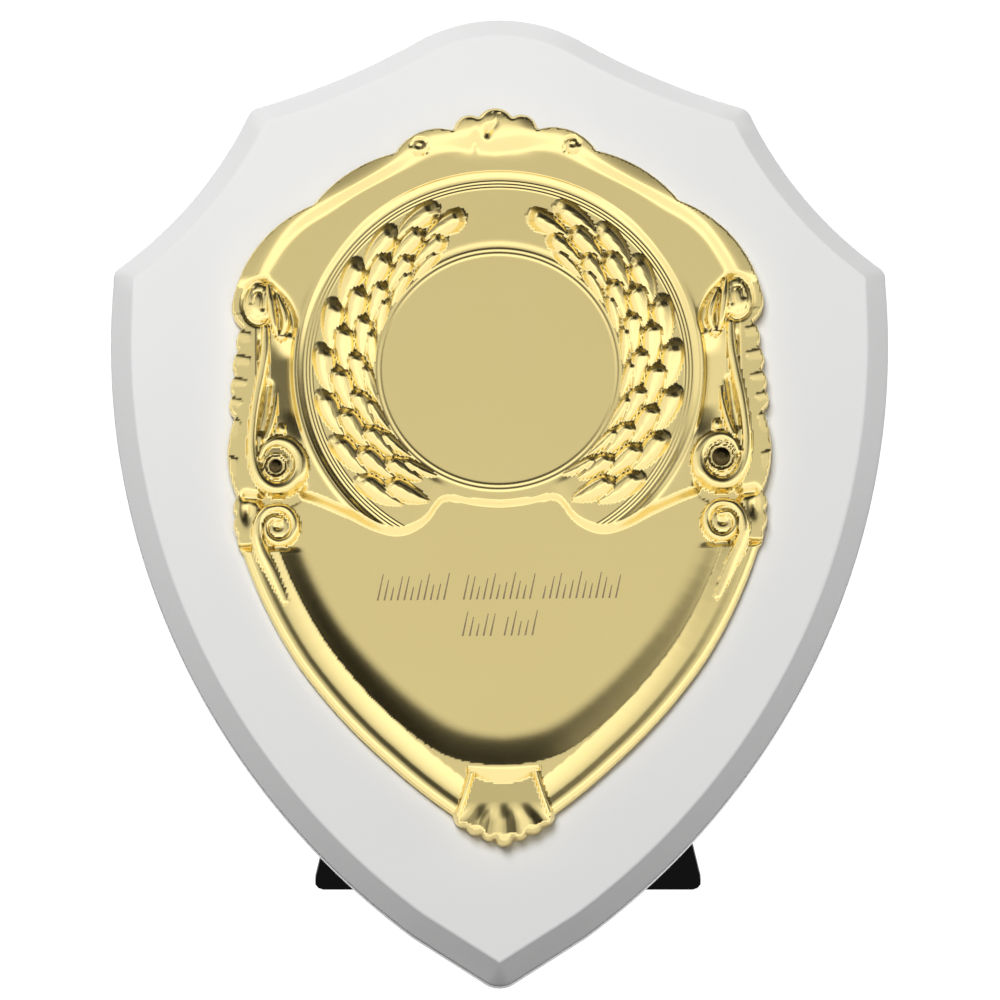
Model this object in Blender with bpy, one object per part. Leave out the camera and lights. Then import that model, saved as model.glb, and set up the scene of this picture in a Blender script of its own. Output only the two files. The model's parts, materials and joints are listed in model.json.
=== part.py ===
"""Award shield plaque: a lacquered shield board with a stamped gilt front, on an easel strut.

Lengths below are millimetres, and MM turns them into metres where a mesh is made.
The board frame has +X to the right, +Y up the board from its lower tip and +Z out of its face;
its back is the plane Z = 0. The whole board frame leans back on the strut.
"""
import math

import bmesh
import bpy
import numpy as np
from mathutils import Matrix, Vector

MM = 0.001
GAP = 0.3                  # clearance between touching pieces

# Board
BOARD_HEIGHT = 203.2       # an eight inch shield
BOARD_THICKNESS = 8.0
CHAMFER = 4.4
CROWN_RADIUS = 34.0
CROWN_SWEEP = 30.0         # degrees of the crown arc each side of the top
NECK_RADIUS = 150.0
SHOULDER = (51.5, 184.0)
FLANK_SAGITTA = 2.95       # hollow of the side between shoulder and hip
HIP = (79.7, 149.4)
SIDE_RADIUS = 155.0
SIDE_CENTRE = (-74.8, 134.9)
CORNER_ROUND = 1.2
TIP_ROUND = 3.1            # set-back of the rounding at the tip
TIP_LEVEL = 0.137          # lowest point of the rounded tip along the board

# Stance
LEAN = math.radians(23.0)
HINGE_UP = 122.0           # hinge axis above the tip, along the board
HINGE_BACK = 3.0           # hinge axis behind the board
LEG_STEEPNESS = math.radians(71.6)

# Stamped front
SHEET = 0.6
FRONT_CENTRE = (-0.2, 127.3)   # medallion centre in the board frame
FRONT_TURN = math.radians(0.7)  # it sits slightly turned, as pinned by hand
GRID = 0.85
FRONT_TRIANGLES = 3450     # of its upper surface

# Heights of the front's upper surface above the board's face
EDGE_LEVEL = GAP + SHEET
FIELD_LEVEL = 1.0
DISC_LEVEL = 1.9
GROUND_LEVEL = 2.1
BAND_LEVEL = 2.8
RIM_LEVEL = 3.9
FLANK_LEVEL = 3.3

GROUND_OUTER = 38.0        # radius at which the wreath's ground meets the fine beads
BEAD_PITCH = 0.66
BEADS_OUTER = GROUND_OUTER + 3 * BEAD_PITCH

# Right half of the front's edge from the top: x, y and the outward bulge of the arc ending there
FRONT_EDGE = [
    (0.0, 55.4, 0.0), (3.6, 53.5, 0.5), (8.8, 50.8, 1.6), (20.9, 46.1, 2.2), (37.8, 35.3, 1.7),
    (54.6, 15.5, 3.3), (52.6, 9.3, 1.0), (53.6, 4.4, 0.8), (54.2, -0.7, 0.8), (54.8, -4.9, 0.7),
    (54.4, -9.5, 0.9), (53.9, -26.3, 1.7), (54.3, -30.2, 0.7), (53.9, -34.6, 0.6),
    (52.7, -38.2, 0.4), (41.5, -61.6, 0.83), (23.5, -82.0, 0.8), (10.4, -92.8, 0.3), (7.9, -95.5, 0.8),
    (4.8, -96.9, 0.7), (1.95, -97.9, 0.75), (0.0, -99.4, 0.42),
]
BORDER_TOP = -36.4         # the plain lower border starts below this height
BORDER_ROLL = 2.7
BORDER_CREST = 3.0
BORDER_WIDTH = 7.3         # from the sheet's edge to the break into the cove
COVE_WIDTH = 5.5
COVE_FOOT = 90.6           # the hollow is rounded off above the shell

# Where the rolled upper rim rises from the flat band, and the line of its crest, right half
RIM_FOOT = [
    (0.0, 44.4), (5.0, 45.8), (12.0, 45.0), (18.0, 42.4), (22.5, 40.2), (28.5, 37.0), (34.0, 33.2),
    (39.0, 30.0), (42.5, 26.5), (45.0, 22.5), (47.0, 18.6),
]
RIM_CREST = [
    (0.0, 53.0), (5.0, 51.4), (9.5, 50.2), (14.0, 49.6), (18.2, 47.0), (22.5, 43.4), (28.5, 39.6),
    (35.0, 36.2), (39.5, 33.6), (43.5, 30.2), (46.4, 26.4), (49.0, 22.2), (50.8, 18.4),
]

# Edge of the raised upper part against the engraving field, right half, from the side inwards
PLATFORM_EDGE = [
    (70.0, -25.0), (46.0, -25.0), (39.5, -26.2), (31.5, -29.6), (26.0, -32.4), (21.5, -33.7),
    (18.0, -33.0), (15.0, -31.0), (11.6, -27.0), (6.0, -27.6), (0.0, -28.2),
]
PLATFORM_SLOPE = 2.0

# Wreath: radius of each row of leaves, first tip angle, leaf half width and height
WREATH_ROWS = [
    (35.6, 18.5, 2.5, 1.7), (32.2, 10.5, 2.5, 2.1), (29.0, 19.5, 2.2, 1.9), (26.7, 24.0, 1.4, 1.3),
]
WREATH_PITCH = 15.4
WREATH_END = 152.0
LEAF_REACH = 18.5          # angle from a leaf's tip to its stem
LEAF_SWING = 1.8           # how far a leaf's stem lies inside its tip

VOLUTE = (45.65, -19.7)
LOWER_SCROLL = (45.5, -32.8)
UPPER_SCROLL = (49.3, 14.3)
TOP_SCROLL = (15.9, 47.1)
NAILS = (("left", -45.9, -20.1, 1.4), ("right", 45.4, -19.2, 1.9))   # place and head radius
NAIL_FLOOR = 3.2
NAIL_SEAT = NAIL_FLOOR + 2 * GAP

TOP_SCROLL_HOOK = [(14.4, 46.2), (14.8, 47.9), (16.2, 48.3), (17.2, 47.2)]
UPPER_SCROLL_GROOVE = [
    (47.0, 18.0), (48.6, 18.8), (50.6, 18.2), (52.0, 15.8), (52.2, 13.0), (51.0, 10.6), (49.2, 9.8),
    (47.9, 10.4),
]
UPPER_SCROLL_HOOK = [(48.3, 13.0), (48.3, 15.4), (49.0, 16.7), (50.1, 16.2), (50.6, 14.4)]
PETAL_VALLEY = [(47.6, 18.6), (45.9, 17.0), (44.0, 14.9), (42.6, 12.3), (42.1, 9.8), (42.6, 8.2)]
# Paths of straps and petals: x, y, half width, crest height
PETALS = [
    [(47.1, 18.0, 0.5, 3.4), (46.8, 15.2, 1.1, 4.1), (46.4, 12.0, 1.15, 4.2), (45.9, 9.2, 0.9, 4.0),
     (45.5, 7.8, 0.6, 3.5)],
    [(45.3, 16.0, 0.5, 3.3), (44.3, 13.4, 1.0, 4.0), (43.7, 10.8, 1.05, 4.1), (43.9, 8.8, 0.9, 3.8),
     (44.6, 7.6, 0.6, 3.5)],
]
FLANK_VALLEY = [
    (48.6, 6.5), (49.6, 1.5), (50.6, -3.0), (51.6, -7.5), (52.2, -12.5), (52.6, -18.5), (52.0, -23.5),
]
FLANK_NOTCHES = [14.5, 9.4, 4.2, -0.7, -5.0, -9.3, -17.5, -25.3, -29.6, -36.0]
STRAP = [
    (47.8, 9.0, 0.9, 3.8), (47.9, 4.0, 1.2, 4.1), (48.7, -1.0, 1.2, 4.1), (49.7, -6.0, 1.2, 4.2),
    (50.4, -11.0, 1.2, 4.3), (50.7, -16.0, 1.3, 4.3), (50.2, -20.2, 1.4, 4.3), (48.6, -23.4, 1.5, 4.4),
    (46.0, -24.9, 1.6, 4.4), (43.0, -24.1, 1.7, 4.4), (41.0, -21.6, 1.8, 4.4), (41.0, -18.3, 1.7, 4.4),
    (42.8, -15.8, 1.6, 4.3), (45.6, -14.9, 1.3, 4.3), (47.9, -16.0, 1.0, 4.2), (49.0, -18.2, 0.8, 4.0),
]
INNER_STRAP = [
    (45.6, -4.5, 0.5, 3.1), (46.0, -8.0, 0.8, 3.7), (46.8, -11.5, 1.0, 4.0), (47.9, -14.6, 1.1, 4.1),
]
STRAP_RECESS = [(47.3, -3.0), (48.1, -8.0), (48.8, -12.5)]
LOWER_COIL = [
    (44.2, -48.0, 0.8, 2.9), (46.9, -42.0, 1.3, 3.3), (48.9, -38.0, 1.5, 3.8), (49.8, -34.4, 1.5, 4.2),
    (49.2, -31.2, 1.4, 4.3),
    (47.4, -29.2, 1.3, 4.3), (45.0, -28.8, 1.2, 4.3), (42.9, -30.2, 1.2, 4.2), (42.1, -32.8, 1.2, 4.1),
    (43.2, -35.3, 1.1, 4.1), (45.6, -36.1, 1.0, 4.0), (47.6, -34.8, 0.9, 3.9), (48.0, -32.6, 0.8, 3.8),
    (46.8, -31.0, 0.8, 3.8), (45.0, -31.2, 0.7, 3.8),
]
SCROLL_VALLEY = [(52.0, -26.4), (49.6, -26.8), (47.0, -27.3), (44.5, -27.1), (42.3, -26.2), (40.8, -24.6)]

# Hinge and strut
HINGE_HALF_WIDTH = 19.0
KNUCKLE_RADIUS = 2.4
KNUCKLE_BORE = 1.06
PIN_RADIUS = 1.0
LEG_KNUCKLE_HALF = 8.4
HINGE_PLATE_THICKNESS = 1.2
HINGE_PLATE_TOP = 30.0     # above the hinge axis
STRUT_ASIDE = 1.8          # the strut is fixed this far to the right of the middle
BARE_BACK_FROM = HINGE_UP + HINGE_PLATE_TOP + 5.0
SCREW_OFFSET = (12.0, 19.0)
SCREW_HEAD_RADIUS = 3.2
SCREW_HEAD_HEIGHT = 1.6
SCREW_RADIUS = 1.5
SCREW_DEPTH = 5.0
LEG_THICKNESS = 2.0
LEG_TOP_HALF = 16.8
LEG_FOOT_HALF = 41.6
LEG_CORNER = 2.2
LEG_SHOULDER = 3.2         # the leaf starts this far below the axis
LEG_HEEL = 2.95
STRUT_PIN_HALF = 20.5
NAIL_RADIUS = 0.6
NAIL_DEPTH = 5.0


def clear_scene():
    for item in list(bpy.data.objects):
        bpy.data.objects.remove(item, do_unlink=True)


def make_material(name, colour, roughness, metallic):
    material = bpy.data.materials.new(name)
    material.use_nodes = True
    shader = material.node_tree.nodes["Principled BSDF"]
    shader.inputs["Base Color"].default_value = (*colour, 1.0)
    shader.inputs["Roughness"].default_value = roughness
    shader.inputs["Metallic"].default_value = metallic
    return material


def make_object(name, bm, collection, material=None, parent=None):
    """Turn a bmesh built in millimetres into a named object in metres."""
    bmesh.ops.scale(bm, vec=(MM, MM, MM), verts=bm.verts)
    bmesh.ops.recalc_face_normals(bm, faces=bm.faces)
    mesh = bpy.data.meshes.new(name)
    bm.to_mesh(mesh)
    bm.free()
    item = bpy.data.objects.new(name, mesh)
    collection.objects.link(item)
    item.parent = parent
    if material:
        mesh.materials.append(material)
    return item


def make_cutter(name, bm, parent):
    item = make_object(name, bm, CUTTERS, parent=parent)
    item.hide_render = True
    item.display_type = "WIRE"
    return item


def boolean(item, cutter, operation="DIFFERENCE"):
    modifier = item.modifiers.new(operation.title(), "BOOLEAN")
    modifier.object = cutter
    modifier.operation = operation


def shade_smooth(item, angle=35.0):
    item.data.shade_smooth()
    item.data.set_sharp_from_angle(angle=math.radians(angle))


def arc_points(start, end, bulge, flatness=0.1):
    """Points after start up to end on the arc that bulges to the left of the way by bulge.

    The chords stay within flatness of the arc.
    """
    start, end = np.array(start), np.array(end)
    chord = end - start
    length = np.hypot(*chord)
    if abs(bulge) < 1e-6:
        return [tuple(end)]
    radius = (length * length / 4 + bulge * bulge) / (2 * bulge)
    left = np.array((-chord[1], chord[0])) / length
    centre = (start + end) / 2 + left * (bulge - radius)
    first = math.atan2(*(start - centre)[::-1])
    last = math.atan2(*(end - centre)[::-1])
    turn = (last - first + math.pi) % (2 * math.pi) - math.pi
    widest = 2 * math.acos(1 - flatness / abs(radius))
    count = max(2, math.ceil(abs(turn) / widest))
    angles = first + turn * np.arange(1, count + 1) / count
    return [tuple(centre + abs(radius) * np.array((math.cos(a), math.sin(a)))) for a in angles]


def mirrored_loop(half):
    """Close a right half that runs from the top centre to the bottom centre."""
    left = [(-x, y) for x, y in reversed(half[1:-1])]
    return half + left


def board_outline():
    """The board's outline with sharp corners, clockwise from the top centre."""
    half = []
    for step in range(6):
        angle = math.radians(CROWN_SWEEP) * step / 5
        x = CROWN_RADIUS * math.sin(angle)
        y = BOARD_HEIGHT - CROWN_RADIUS * (1 - math.cos(angle))
        half.append((x, y))
    neck = half[-1]
    reach = math.dist(neck, SHOULDER)
    neck_hollow = NECK_RADIUS - math.sqrt(NECK_RADIUS ** 2 - reach ** 2 / 4)
    half += arc_points(neck, SHOULDER, -neck_hollow, 0.04)
    half += arc_points(SHOULDER, HIP, -FLANK_SAGITTA, 0.04)
    first = math.asin((HIP[1] - SIDE_CENTRE[1]) / SIDE_RADIUS)
    last = -math.acos(-SIDE_CENTRE[0] / SIDE_RADIUS)
    steps = 22
    for step in range(1, steps + 1):
        angle = first + (last - first) * step / steps
        x = SIDE_CENTRE[0] + SIDE_RADIUS * math.cos(angle)
        y = SIDE_CENTRE[1] + SIDE_RADIUS * math.sin(angle)
        half.append((max(x, 0.0), y))
    return mirrored_loop(half)


def front_outline(flatness=0.1):
    half = [FRONT_EDGE[0][:2]]
    for (x0, y0, _), (x1, y1, bulge) in zip(FRONT_EDGE, FRONT_EDGE[1:]):
        half += arc_points((x0, y0), (x1, y1), bulge, flatness)
    return mirrored_loop([(float(x), float(y)) for x, y in half])


def extruded(points, bottom, top):
    """A prism on a closed outline."""
    bm = bmesh.new()
    verts = [bm.verts.new((x, y, bottom)) for x, y in points]
    face = bm.faces.new(verts)
    made = bmesh.ops.extrude_face_region(bm, geom=[face])
    raised = [v for v in made["geom"] if isinstance(v, bmesh.types.BMVert)]
    bmesh.ops.translate(bm, vec=(0, 0, top - bottom), verts=raised)
    return bm


def cylinder(radius, bottom, top, segments=24, at=(0, 0)):
    bm = bmesh.new()
    place = Matrix.Translation((at[0], at[1], (bottom + top) / 2))
    bmesh.ops.create_cone(bm, cap_ends=True, segments=segments, radius1=radius, radius2=radius,
                          depth=top - bottom, matrix=place)
    return bm


def cross_cylinder(radius, half_length, x=0.0, segments=24):
    """A cylinder along X through the frame's origin."""
    bm = bmesh.new()
    place = Matrix.Translation((x, 0, 0)) @ Matrix.Rotation(math.pi / 2, 4, "Y")
    bmesh.ops.create_cone(bm, cap_ends=True, segments=segments, radius1=radius, radius2=radius,
                          depth=2 * half_length, matrix=place)
    return bm


def box(low, high):
    bm = bmesh.new()
    middle = (Vector(low) + Vector(high)) / 2
    size = Vector(high) - Vector(low)
    place = Matrix.Translation(middle) @ Matrix.Diagonal((*size, 1.0))
    bmesh.ops.create_cube(bm, size=1.0, matrix=place)
    return bm


# Relief of the stamped front, on arrays of points

def ease(value):
    value = np.clip(value, 0.0, 1.0)
    return value * value * (3 - 2 * value)


def quarter_round(distance, reach, foot, crest):
    """Height of a rounded edge: upright at the rim and level at reach."""
    inner = np.clip(1 - distance / reach, 0, 1)
    return foot + (crest - foot) * np.sqrt(1 - inner * inner)


def distance_to(x, y, points, closed):
    """Distance to a polyline, and how far along it the nearest point lies."""
    points = np.array(points, dtype=float)[:, :2]
    ends = np.roll(points, -1, axis=0) if closed else points[1:]
    starts = points if closed else points[:-1]
    best = np.full(x.shape, 1e9)
    place = np.zeros(x.shape)
    for index, (a, b) in enumerate(zip(starts, ends)):
        way = b - a
        share = ((x - a[0]) * way[0] + (y - a[1]) * way[1]) / max(way @ way, 1e-12)
        share = np.clip(share, 0, 1)
        gap = np.hypot(x - a[0] - share * way[0], y - a[1] - share * way[1])
        nearer = gap < best
        best = np.where(nearer, gap, best)
        place = np.where(nearer, index + share, place)
    return best, place


def inside(x, y, points):
    """True where a point lies inside a closed outline, by crossings of a ray."""
    odd = np.zeros(x.shape, dtype=bool)
    for (x0, y0), (x1, y1) in zip(points, points[1:] + points[:1]):
        if y0 == y1:
            continue
        spans = (y0 > y) != (y1 > y)
        crossing = x0 + (y - y0) * (x1 - x0) / (y1 - y0)
        odd ^= spans & (x < crossing)
    return odd


def smooth_path(knots, steps=6):
    """A Catmull-Rom curve through the knots, in all their columns."""
    knots = np.array(knots, dtype=float)
    padded = np.vstack([2 * knots[0] - knots[1], knots, 2 * knots[-1] - knots[-2]])
    rows = []
    for p0, p1, p2, p3 in zip(padded, padded[1:], padded[2:], padded[3:]):
        for step in range(steps):
            t = step / steps
            rows.append(0.5 * (2 * p1 + (p2 - p0) * t + (2 * p0 - 5 * p1 + 4 * p2 - p3) * t * t
                               + (3 * p1 - p0 - 3 * p2 + p3) * t ** 3))
    rows.append(knots[-1])
    return np.array(rows)


def near(x, y, path, margin):
    """The points of a patch round a path, so that far ones cost nothing."""
    path = np.array(path, dtype=float)
    return ((x > path[:, 0].min() - margin) & (x < path[:, 0].max() + margin)
            & (y > path[:, 1].min() - margin) & (y < path[:, 1].max() + margin))


def raise_ridge(height, x, y, knots, foot, roundness=0.6):
    """Lift a rounded ridge along a path of x, y, half width and crest out of the surface."""
    patch = near(x, y, knots, 3.0)
    path = smooth_path(knots)
    gap, place = distance_to(x[patch], y[patch], path, False)
    index = np.arange(len(path))
    half_width = np.interp(place, index, path[:, 2])
    crest = np.interp(place, index, path[:, 3])
    across = np.clip(1 - (gap / half_width) ** 2, 0, 1)
    lifted = np.where(gap < half_width, foot + (crest - foot) * across ** roundness, 0.0)
    height[patch] = np.maximum(height[patch], lifted)


def press_groove(height, x, y, knots, width, depth):
    """Press a soft groove along a path of x and y into the surface."""
    patch = near(x, y, knots, 3 * width)
    gap = distance_to(x[patch], y[patch], smooth_path(knots), False)[0]
    height[patch] -= depth * np.exp(-(gap / width) ** 2)


def raise_dome(height, x, y, centre, radii, crest, foot, roundness=0.6):
    reach = ((x - centre[0]) / radii[0]) ** 2 + ((y - centre[1]) / radii[1]) ** 2
    lifted = np.where(reach < 1, foot + (crest - foot) * np.clip(1 - reach, 0, 1) ** roundness, 0.0)
    np.maximum(height, lifted, out=height)


def press_pit(height, x, y, centre, radii, depth):
    reach = ((x - centre[0]) / radii[0]) ** 2 + ((y - centre[1]) / radii[1]) ** 2
    height -= depth * np.exp(-reach)


def leaf_rows(side, y):
    """Laurel leaves in arcs round the medallion, pointed tips towards the top."""
    radius = np.hypot(side, y)
    angle = np.degrees(np.arctan2(side, y))
    height = np.zeros_like(side)
    for row_radius, first, half_width, lift in WREATH_ROWS:
        tip = first
        while tip + LEAF_REACH < WREATH_END + 4:
            share = np.clip((angle - tip) / LEAF_REACH, 1e-4, 1 - 1e-4)
            width = half_width * np.sin(np.pi * share ** 0.62) ** 0.65
            drift = radius - row_radius + LEAF_SWING * (share - 0.5)
            across = np.clip(np.abs(drift) / np.maximum(width, 1e-3), 0, 1)
            crest = lift * ease(share / 0.3) * (1.4 - 1.25 * share)
            leaf = crest * (1 - across ** 2.4) + 0.08 * np.exp(-(drift / 0.3) ** 2)
            on = (angle > tip) & (angle < tip + LEAF_REACH) & (across < 1)
            height = np.maximum(height, np.where(on, leaf, 0.0))
            tip += WREATH_PITCH
    return height


def soft_minimum(first, second, softness):
    """The lower of two heights, rounded where they cross."""
    return (first + second - np.sqrt((first - second) ** 2 + softness ** 2)) / 2


def front_relief(x, y, edge):
    """Height of the stamped sheet's upper surface above the board's face."""
    side = np.abs(x)
    depth = distance_to(x, y, edge, True)[0]
    radius = np.hypot(x, y)
    angle = np.degrees(np.arctan2(side, y))

    # Medallion with its beaded rim, wreath ground, and the ring that ends beside the field
    rise = ease((radius - 25.8) / 1.6) * ease((158.0 - angle) / 8.0)
    medallion = DISC_LEVEL + (GROUND_LEVEL - DISC_LEVEL) * rise
    for bead in (24.4, 25.3):
        medallion += 0.11 * np.exp(-((radius - bead) / 0.32) ** 2)
    beads = 0.045 * (1 - np.cos(2 * np.pi * (radius - GROUND_OUTER) / BEAD_PITCH))
    medallion = np.where((radius > GROUND_OUTER) & (radius < BEADS_OUTER), medallion + beads, medallion)
    sideness = ease((angle - 12.0) / 45.0)
    cove_end = 43.4 - 1.9 * sideness
    cove = GROUND_LEVEL + (BAND_LEVEL - GROUND_LEVEL) * ease((radius - BEADS_OUTER)
                                                             / (cove_end - BEADS_OUTER))
    lip = BAND_LEVEL + 0.25 * ease((angle - 62.0) / 20.0) * np.exp(-((radius - 42.0) / 0.6) ** 2)
    upper = np.where(radius < BEADS_OUTER, medallion, np.where(radius < cove_end, cove, BAND_LEVEL))
    upper = np.where(radius > BEADS_OUTER, np.maximum(upper, lip * ease((radius - 41.0) / 0.9)), upper)

    # The side recess falls away from the strap towards the ring
    recess = ease((radius - 42.1) / 0.9) * ease((y + 15.5) / 8.0) * ease((9.0 - y) / 7.0)
    upper -= recess * np.clip(0.36 * (46.8 + 0.1 * y - side), 0.0, 1.6)

    # Rolled upper rim: it swells from the band to its crest, and falls away towards the edge
    foot_line = [tuple(p) for p in smooth_path(RIM_FOOT)]
    crest_line = [tuple(p) for p in smooth_path(RIM_CREST)]
    frame_end = [(70.0, 12.0), (70.0, 70.0), (0.0, 70.0)]
    foot_gap = distance_to(side, y, foot_line, False)[0]
    crest_gap = distance_to(side, y, crest_line, False)[0]
    beyond_foot = inside(side, y, foot_line + frame_end)
    beyond_crest = inside(side, y, crest_line + frame_end)
    swell = BAND_LEVEL + (RIM_LEVEL - BAND_LEVEL) * ease(foot_gap / np.maximum(foot_gap + crest_gap, 1e-6))
    fall = RIM_LEVEL - 0.1 * np.hypot(crest_gap, 0.8) + 0.08
    rim = np.where(beyond_crest, fall, np.maximum(swell, upper))
    upper = np.where(beyond_foot, upper + (rim - upper) * ease((y - 15.0) / 5.0), upper)
    boss = 1.1 * np.exp(-(x / 7.5) ** 4 - ((y - 51.0) / 4.6) ** 4)
    upper += boss
    upper = upper + leaf_rows(side, y) * ease((GROUND_OUTER + 0.7 - radius) / 0.5)

    # Outer band of the sides: lobes that each rise to their upper end, with a soft valley inside
    flank = ease((side - 47.5) / 1.2) * ease((14.5 - y) / 3.0) * ease((y + 39.0) / 2.0)
    lobes = np.full_like(y, FLANK_LEVEL)
    for low, high in zip(FLANK_NOTCHES[1:], FLANK_NOTCHES):
        share = np.clip((y - 0.2 * (side - 53.5) - low) / (high - low), 0, 1)
        within = (share > 0) & (share < 1)
        lift = 0.4 * share * ease((1 - share) * (high - low) / 1.5)
        lobes = np.where(within, FLANK_LEVEL - 0.15 + lift * ease((side - 49.8) / 1.5), lobes)
    upper = upper * (1 - flank) + lobes * flank
    press_groove(upper, side, y, FLANK_VALLEY, 0.9, 0.4)

    # Engraving field with its double border
    border = quarter_round(depth, 1.7, EDGE_LEVEL, BORDER_ROLL)
    border = np.where(depth > 1.7, BORDER_ROLL - 0.36 * ease((depth - 1.7) / 1.9), border)
    border += 0.66 * np.clip((depth - 3.2) / (BORDER_WIDTH - 3.2), 0, 1.1) ** 1.5
    reach = soft_minimum(depth, y + COVE_FOOT, 5.0) + 0.2
    cove_width = COVE_WIDTH + 1.6 * ease((-45.0 - y) / 35.0)
    cove = np.clip((reach - BORDER_WIDTH + 0.1) / cove_width, 0, 1)
    cove = FIELD_LEVEL + (BORDER_CREST - FIELD_LEVEL) * (1 - cove) ** 2
    cove += 3.0 * np.clip(BORDER_WIDTH - 0.6 - reach, 0, 2)
    border = soft_minimum(border, cove, 0.12)
    step_line = [(float(px), float(py)) for px, py in smooth_path(PLATFORM_EDGE)]
    platform = step_line + [(-px, py) for px, py in step_line[-2::-1]] + [(-70, 70), (70, 70)]
    signed = distance_to(x, y, platform, True)[0] * np.where(inside(x, y, platform), 1, -1)
    share = ease(signed / (PLATFORM_SLOPE * (0.6 + 0.4 * ease((side - 13.0) / 8.0))) + 0.5)
    height = FIELD_LEVEL + (upper - FIELD_LEVEL) * share
    blend = ease((BORDER_TOP - y) / 1.6)
    height = height * (1 - blend) + border * blend
    height = np.maximum(height, FLANK_LEVEL * ease((side - 47.0) / 3.0) * (y > BORDER_TOP))

    # Scrolls, straps and petals of the sides
    press_groove(height, side, y, PETAL_VALLEY, 0.8, 0.75)
    raise_dome(height, side, y, UPPER_SCROLL, (3.1, 4.4), 3.5, 3.0)
    press_groove(height, side, y, UPPER_SCROLL_GROOVE, 0.5, 0.55)
    raise_dome(height, side, y, UPPER_SCROLL, (2.4, 3.7), 3.9, 2.8)
    press_groove(height, side, y, UPPER_SCROLL_HOOK, 0.4, 0.4)
    for petal in PETALS:
        raise_ridge(height, side, y, petal, 2.4)
    raise_dome(height, side, y, (44.7, 7.1), (1.4, 1.1), 3.7, 2.2)
    raise_ridge(height, side, y, INNER_STRAP, 2.2)
    raise_dome(height, side, y, (44.6, -12.4), (1.1, 1.4), 3.5, 2.4)
    press_groove(height, side, y, STRAP_RECESS, 0.8, 0.7)
    raise_dome(height, side, y, VOLUTE, (6.0, 6.0), 3.4, 2.4)
    raise_ridge(height, side, y, STRAP, 2.9, 0.75)
    raise_dome(height, side, y, LOWER_SCROLL, (3.8, 3.8), 3.3, 2.2)
    raise_ridge(height, side, y, LOWER_COIL, 2.7, 0.75)
    press_groove(height, side, y, SCROLL_VALLEY, 0.9, 1.1)
    press_pit(height, side, y, (51.9, -29.4), (0.9, 2.2), 0.9)
    press_pit(height, side, y, LOWER_SCROLL, (0.8, 0.65), 0.7)
    for _, seat_x, seat_y, head_radius in NAILS:
        gap = np.hypot(x - seat_x, y - seat_y)
        raised = 3.9 * ease((head_radius + 2.1 - gap) / 1.0)
        height = np.maximum(height, raised)
        sunk = ease((head_radius + 1.0 - gap) / 0.5)
        height = height * (1 - sunk) + NAIL_FLOOR * sunk

    # Crest boss and top scrolls
    press_pit(height, x, y, (-1.6, 49.6), (0.8, 1.1), 0.9)
    press_pit(height, x, y, (-4.2, 48.0), (0.7, 1.5), 0.7)
    press_groove(height, x, y, [(0.8, 53.4), (0.2, 51.6), (-1.0, 50.2)], 0.6, 0.4)
    raise_dome(height, side, y, TOP_SCROLL, (2.2, 2.0), RIM_LEVEL + 0.3, 3.2)
    press_groove(height, side, y, TOP_SCROLL_HOOK, 0.45, 0.45)
    press_pit(height, side, y, (TOP_SCROLL[0], TOP_SCROLL[1] - 0.1), (0.7, 0.6), 0.5)

    # Shell at the foot: a lipped bar over a fan of flutes
    fan = 3.4 + 0.9 * np.clip((-85.0 - y) / 12.0, 0, 1)
    fan += 0.4 * np.cos(np.arctan2(x, -78.0 - y) * 20.0) * ease((-90.5 - y) / 4.0)
    fan_edge = 6.6 + (-84.0 - y) * 0.36
    on_fan = ease((fan_edge - side) / 0.8) * ease((-83.2 - y) / 0.5)
    height = height * (1 - on_fan) + fan * on_fan
    lip = 5.4 - 2.6 * np.clip((-83.6 - y) / (3.7 - 0.05 * side * side), 0, 1) ** 1.6
    on_lip = (side < 7.4) & (y < -83.0) & (y > -87.3 + 0.05 * side * side)
    height = np.where(on_lip, np.maximum(height, lip), height)
    fan_side = [(6.6, -84.5, 0.9, 4.9), (7.7, -88.5, 0.9, 4.8), (9.2, -93.0, 0.9, 4.3)]
    raise_ridge(height, side, y, fan_side, 2.6)

    # The sheet's own rolled edge limits everything
    rolled = quarter_round(depth, 1.6, EDGE_LEVEL, 4.6)
    height = np.where(depth < 1.6, np.minimum(height, rolled), height)
    return np.maximum(height, EDGE_LEVEL)


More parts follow.
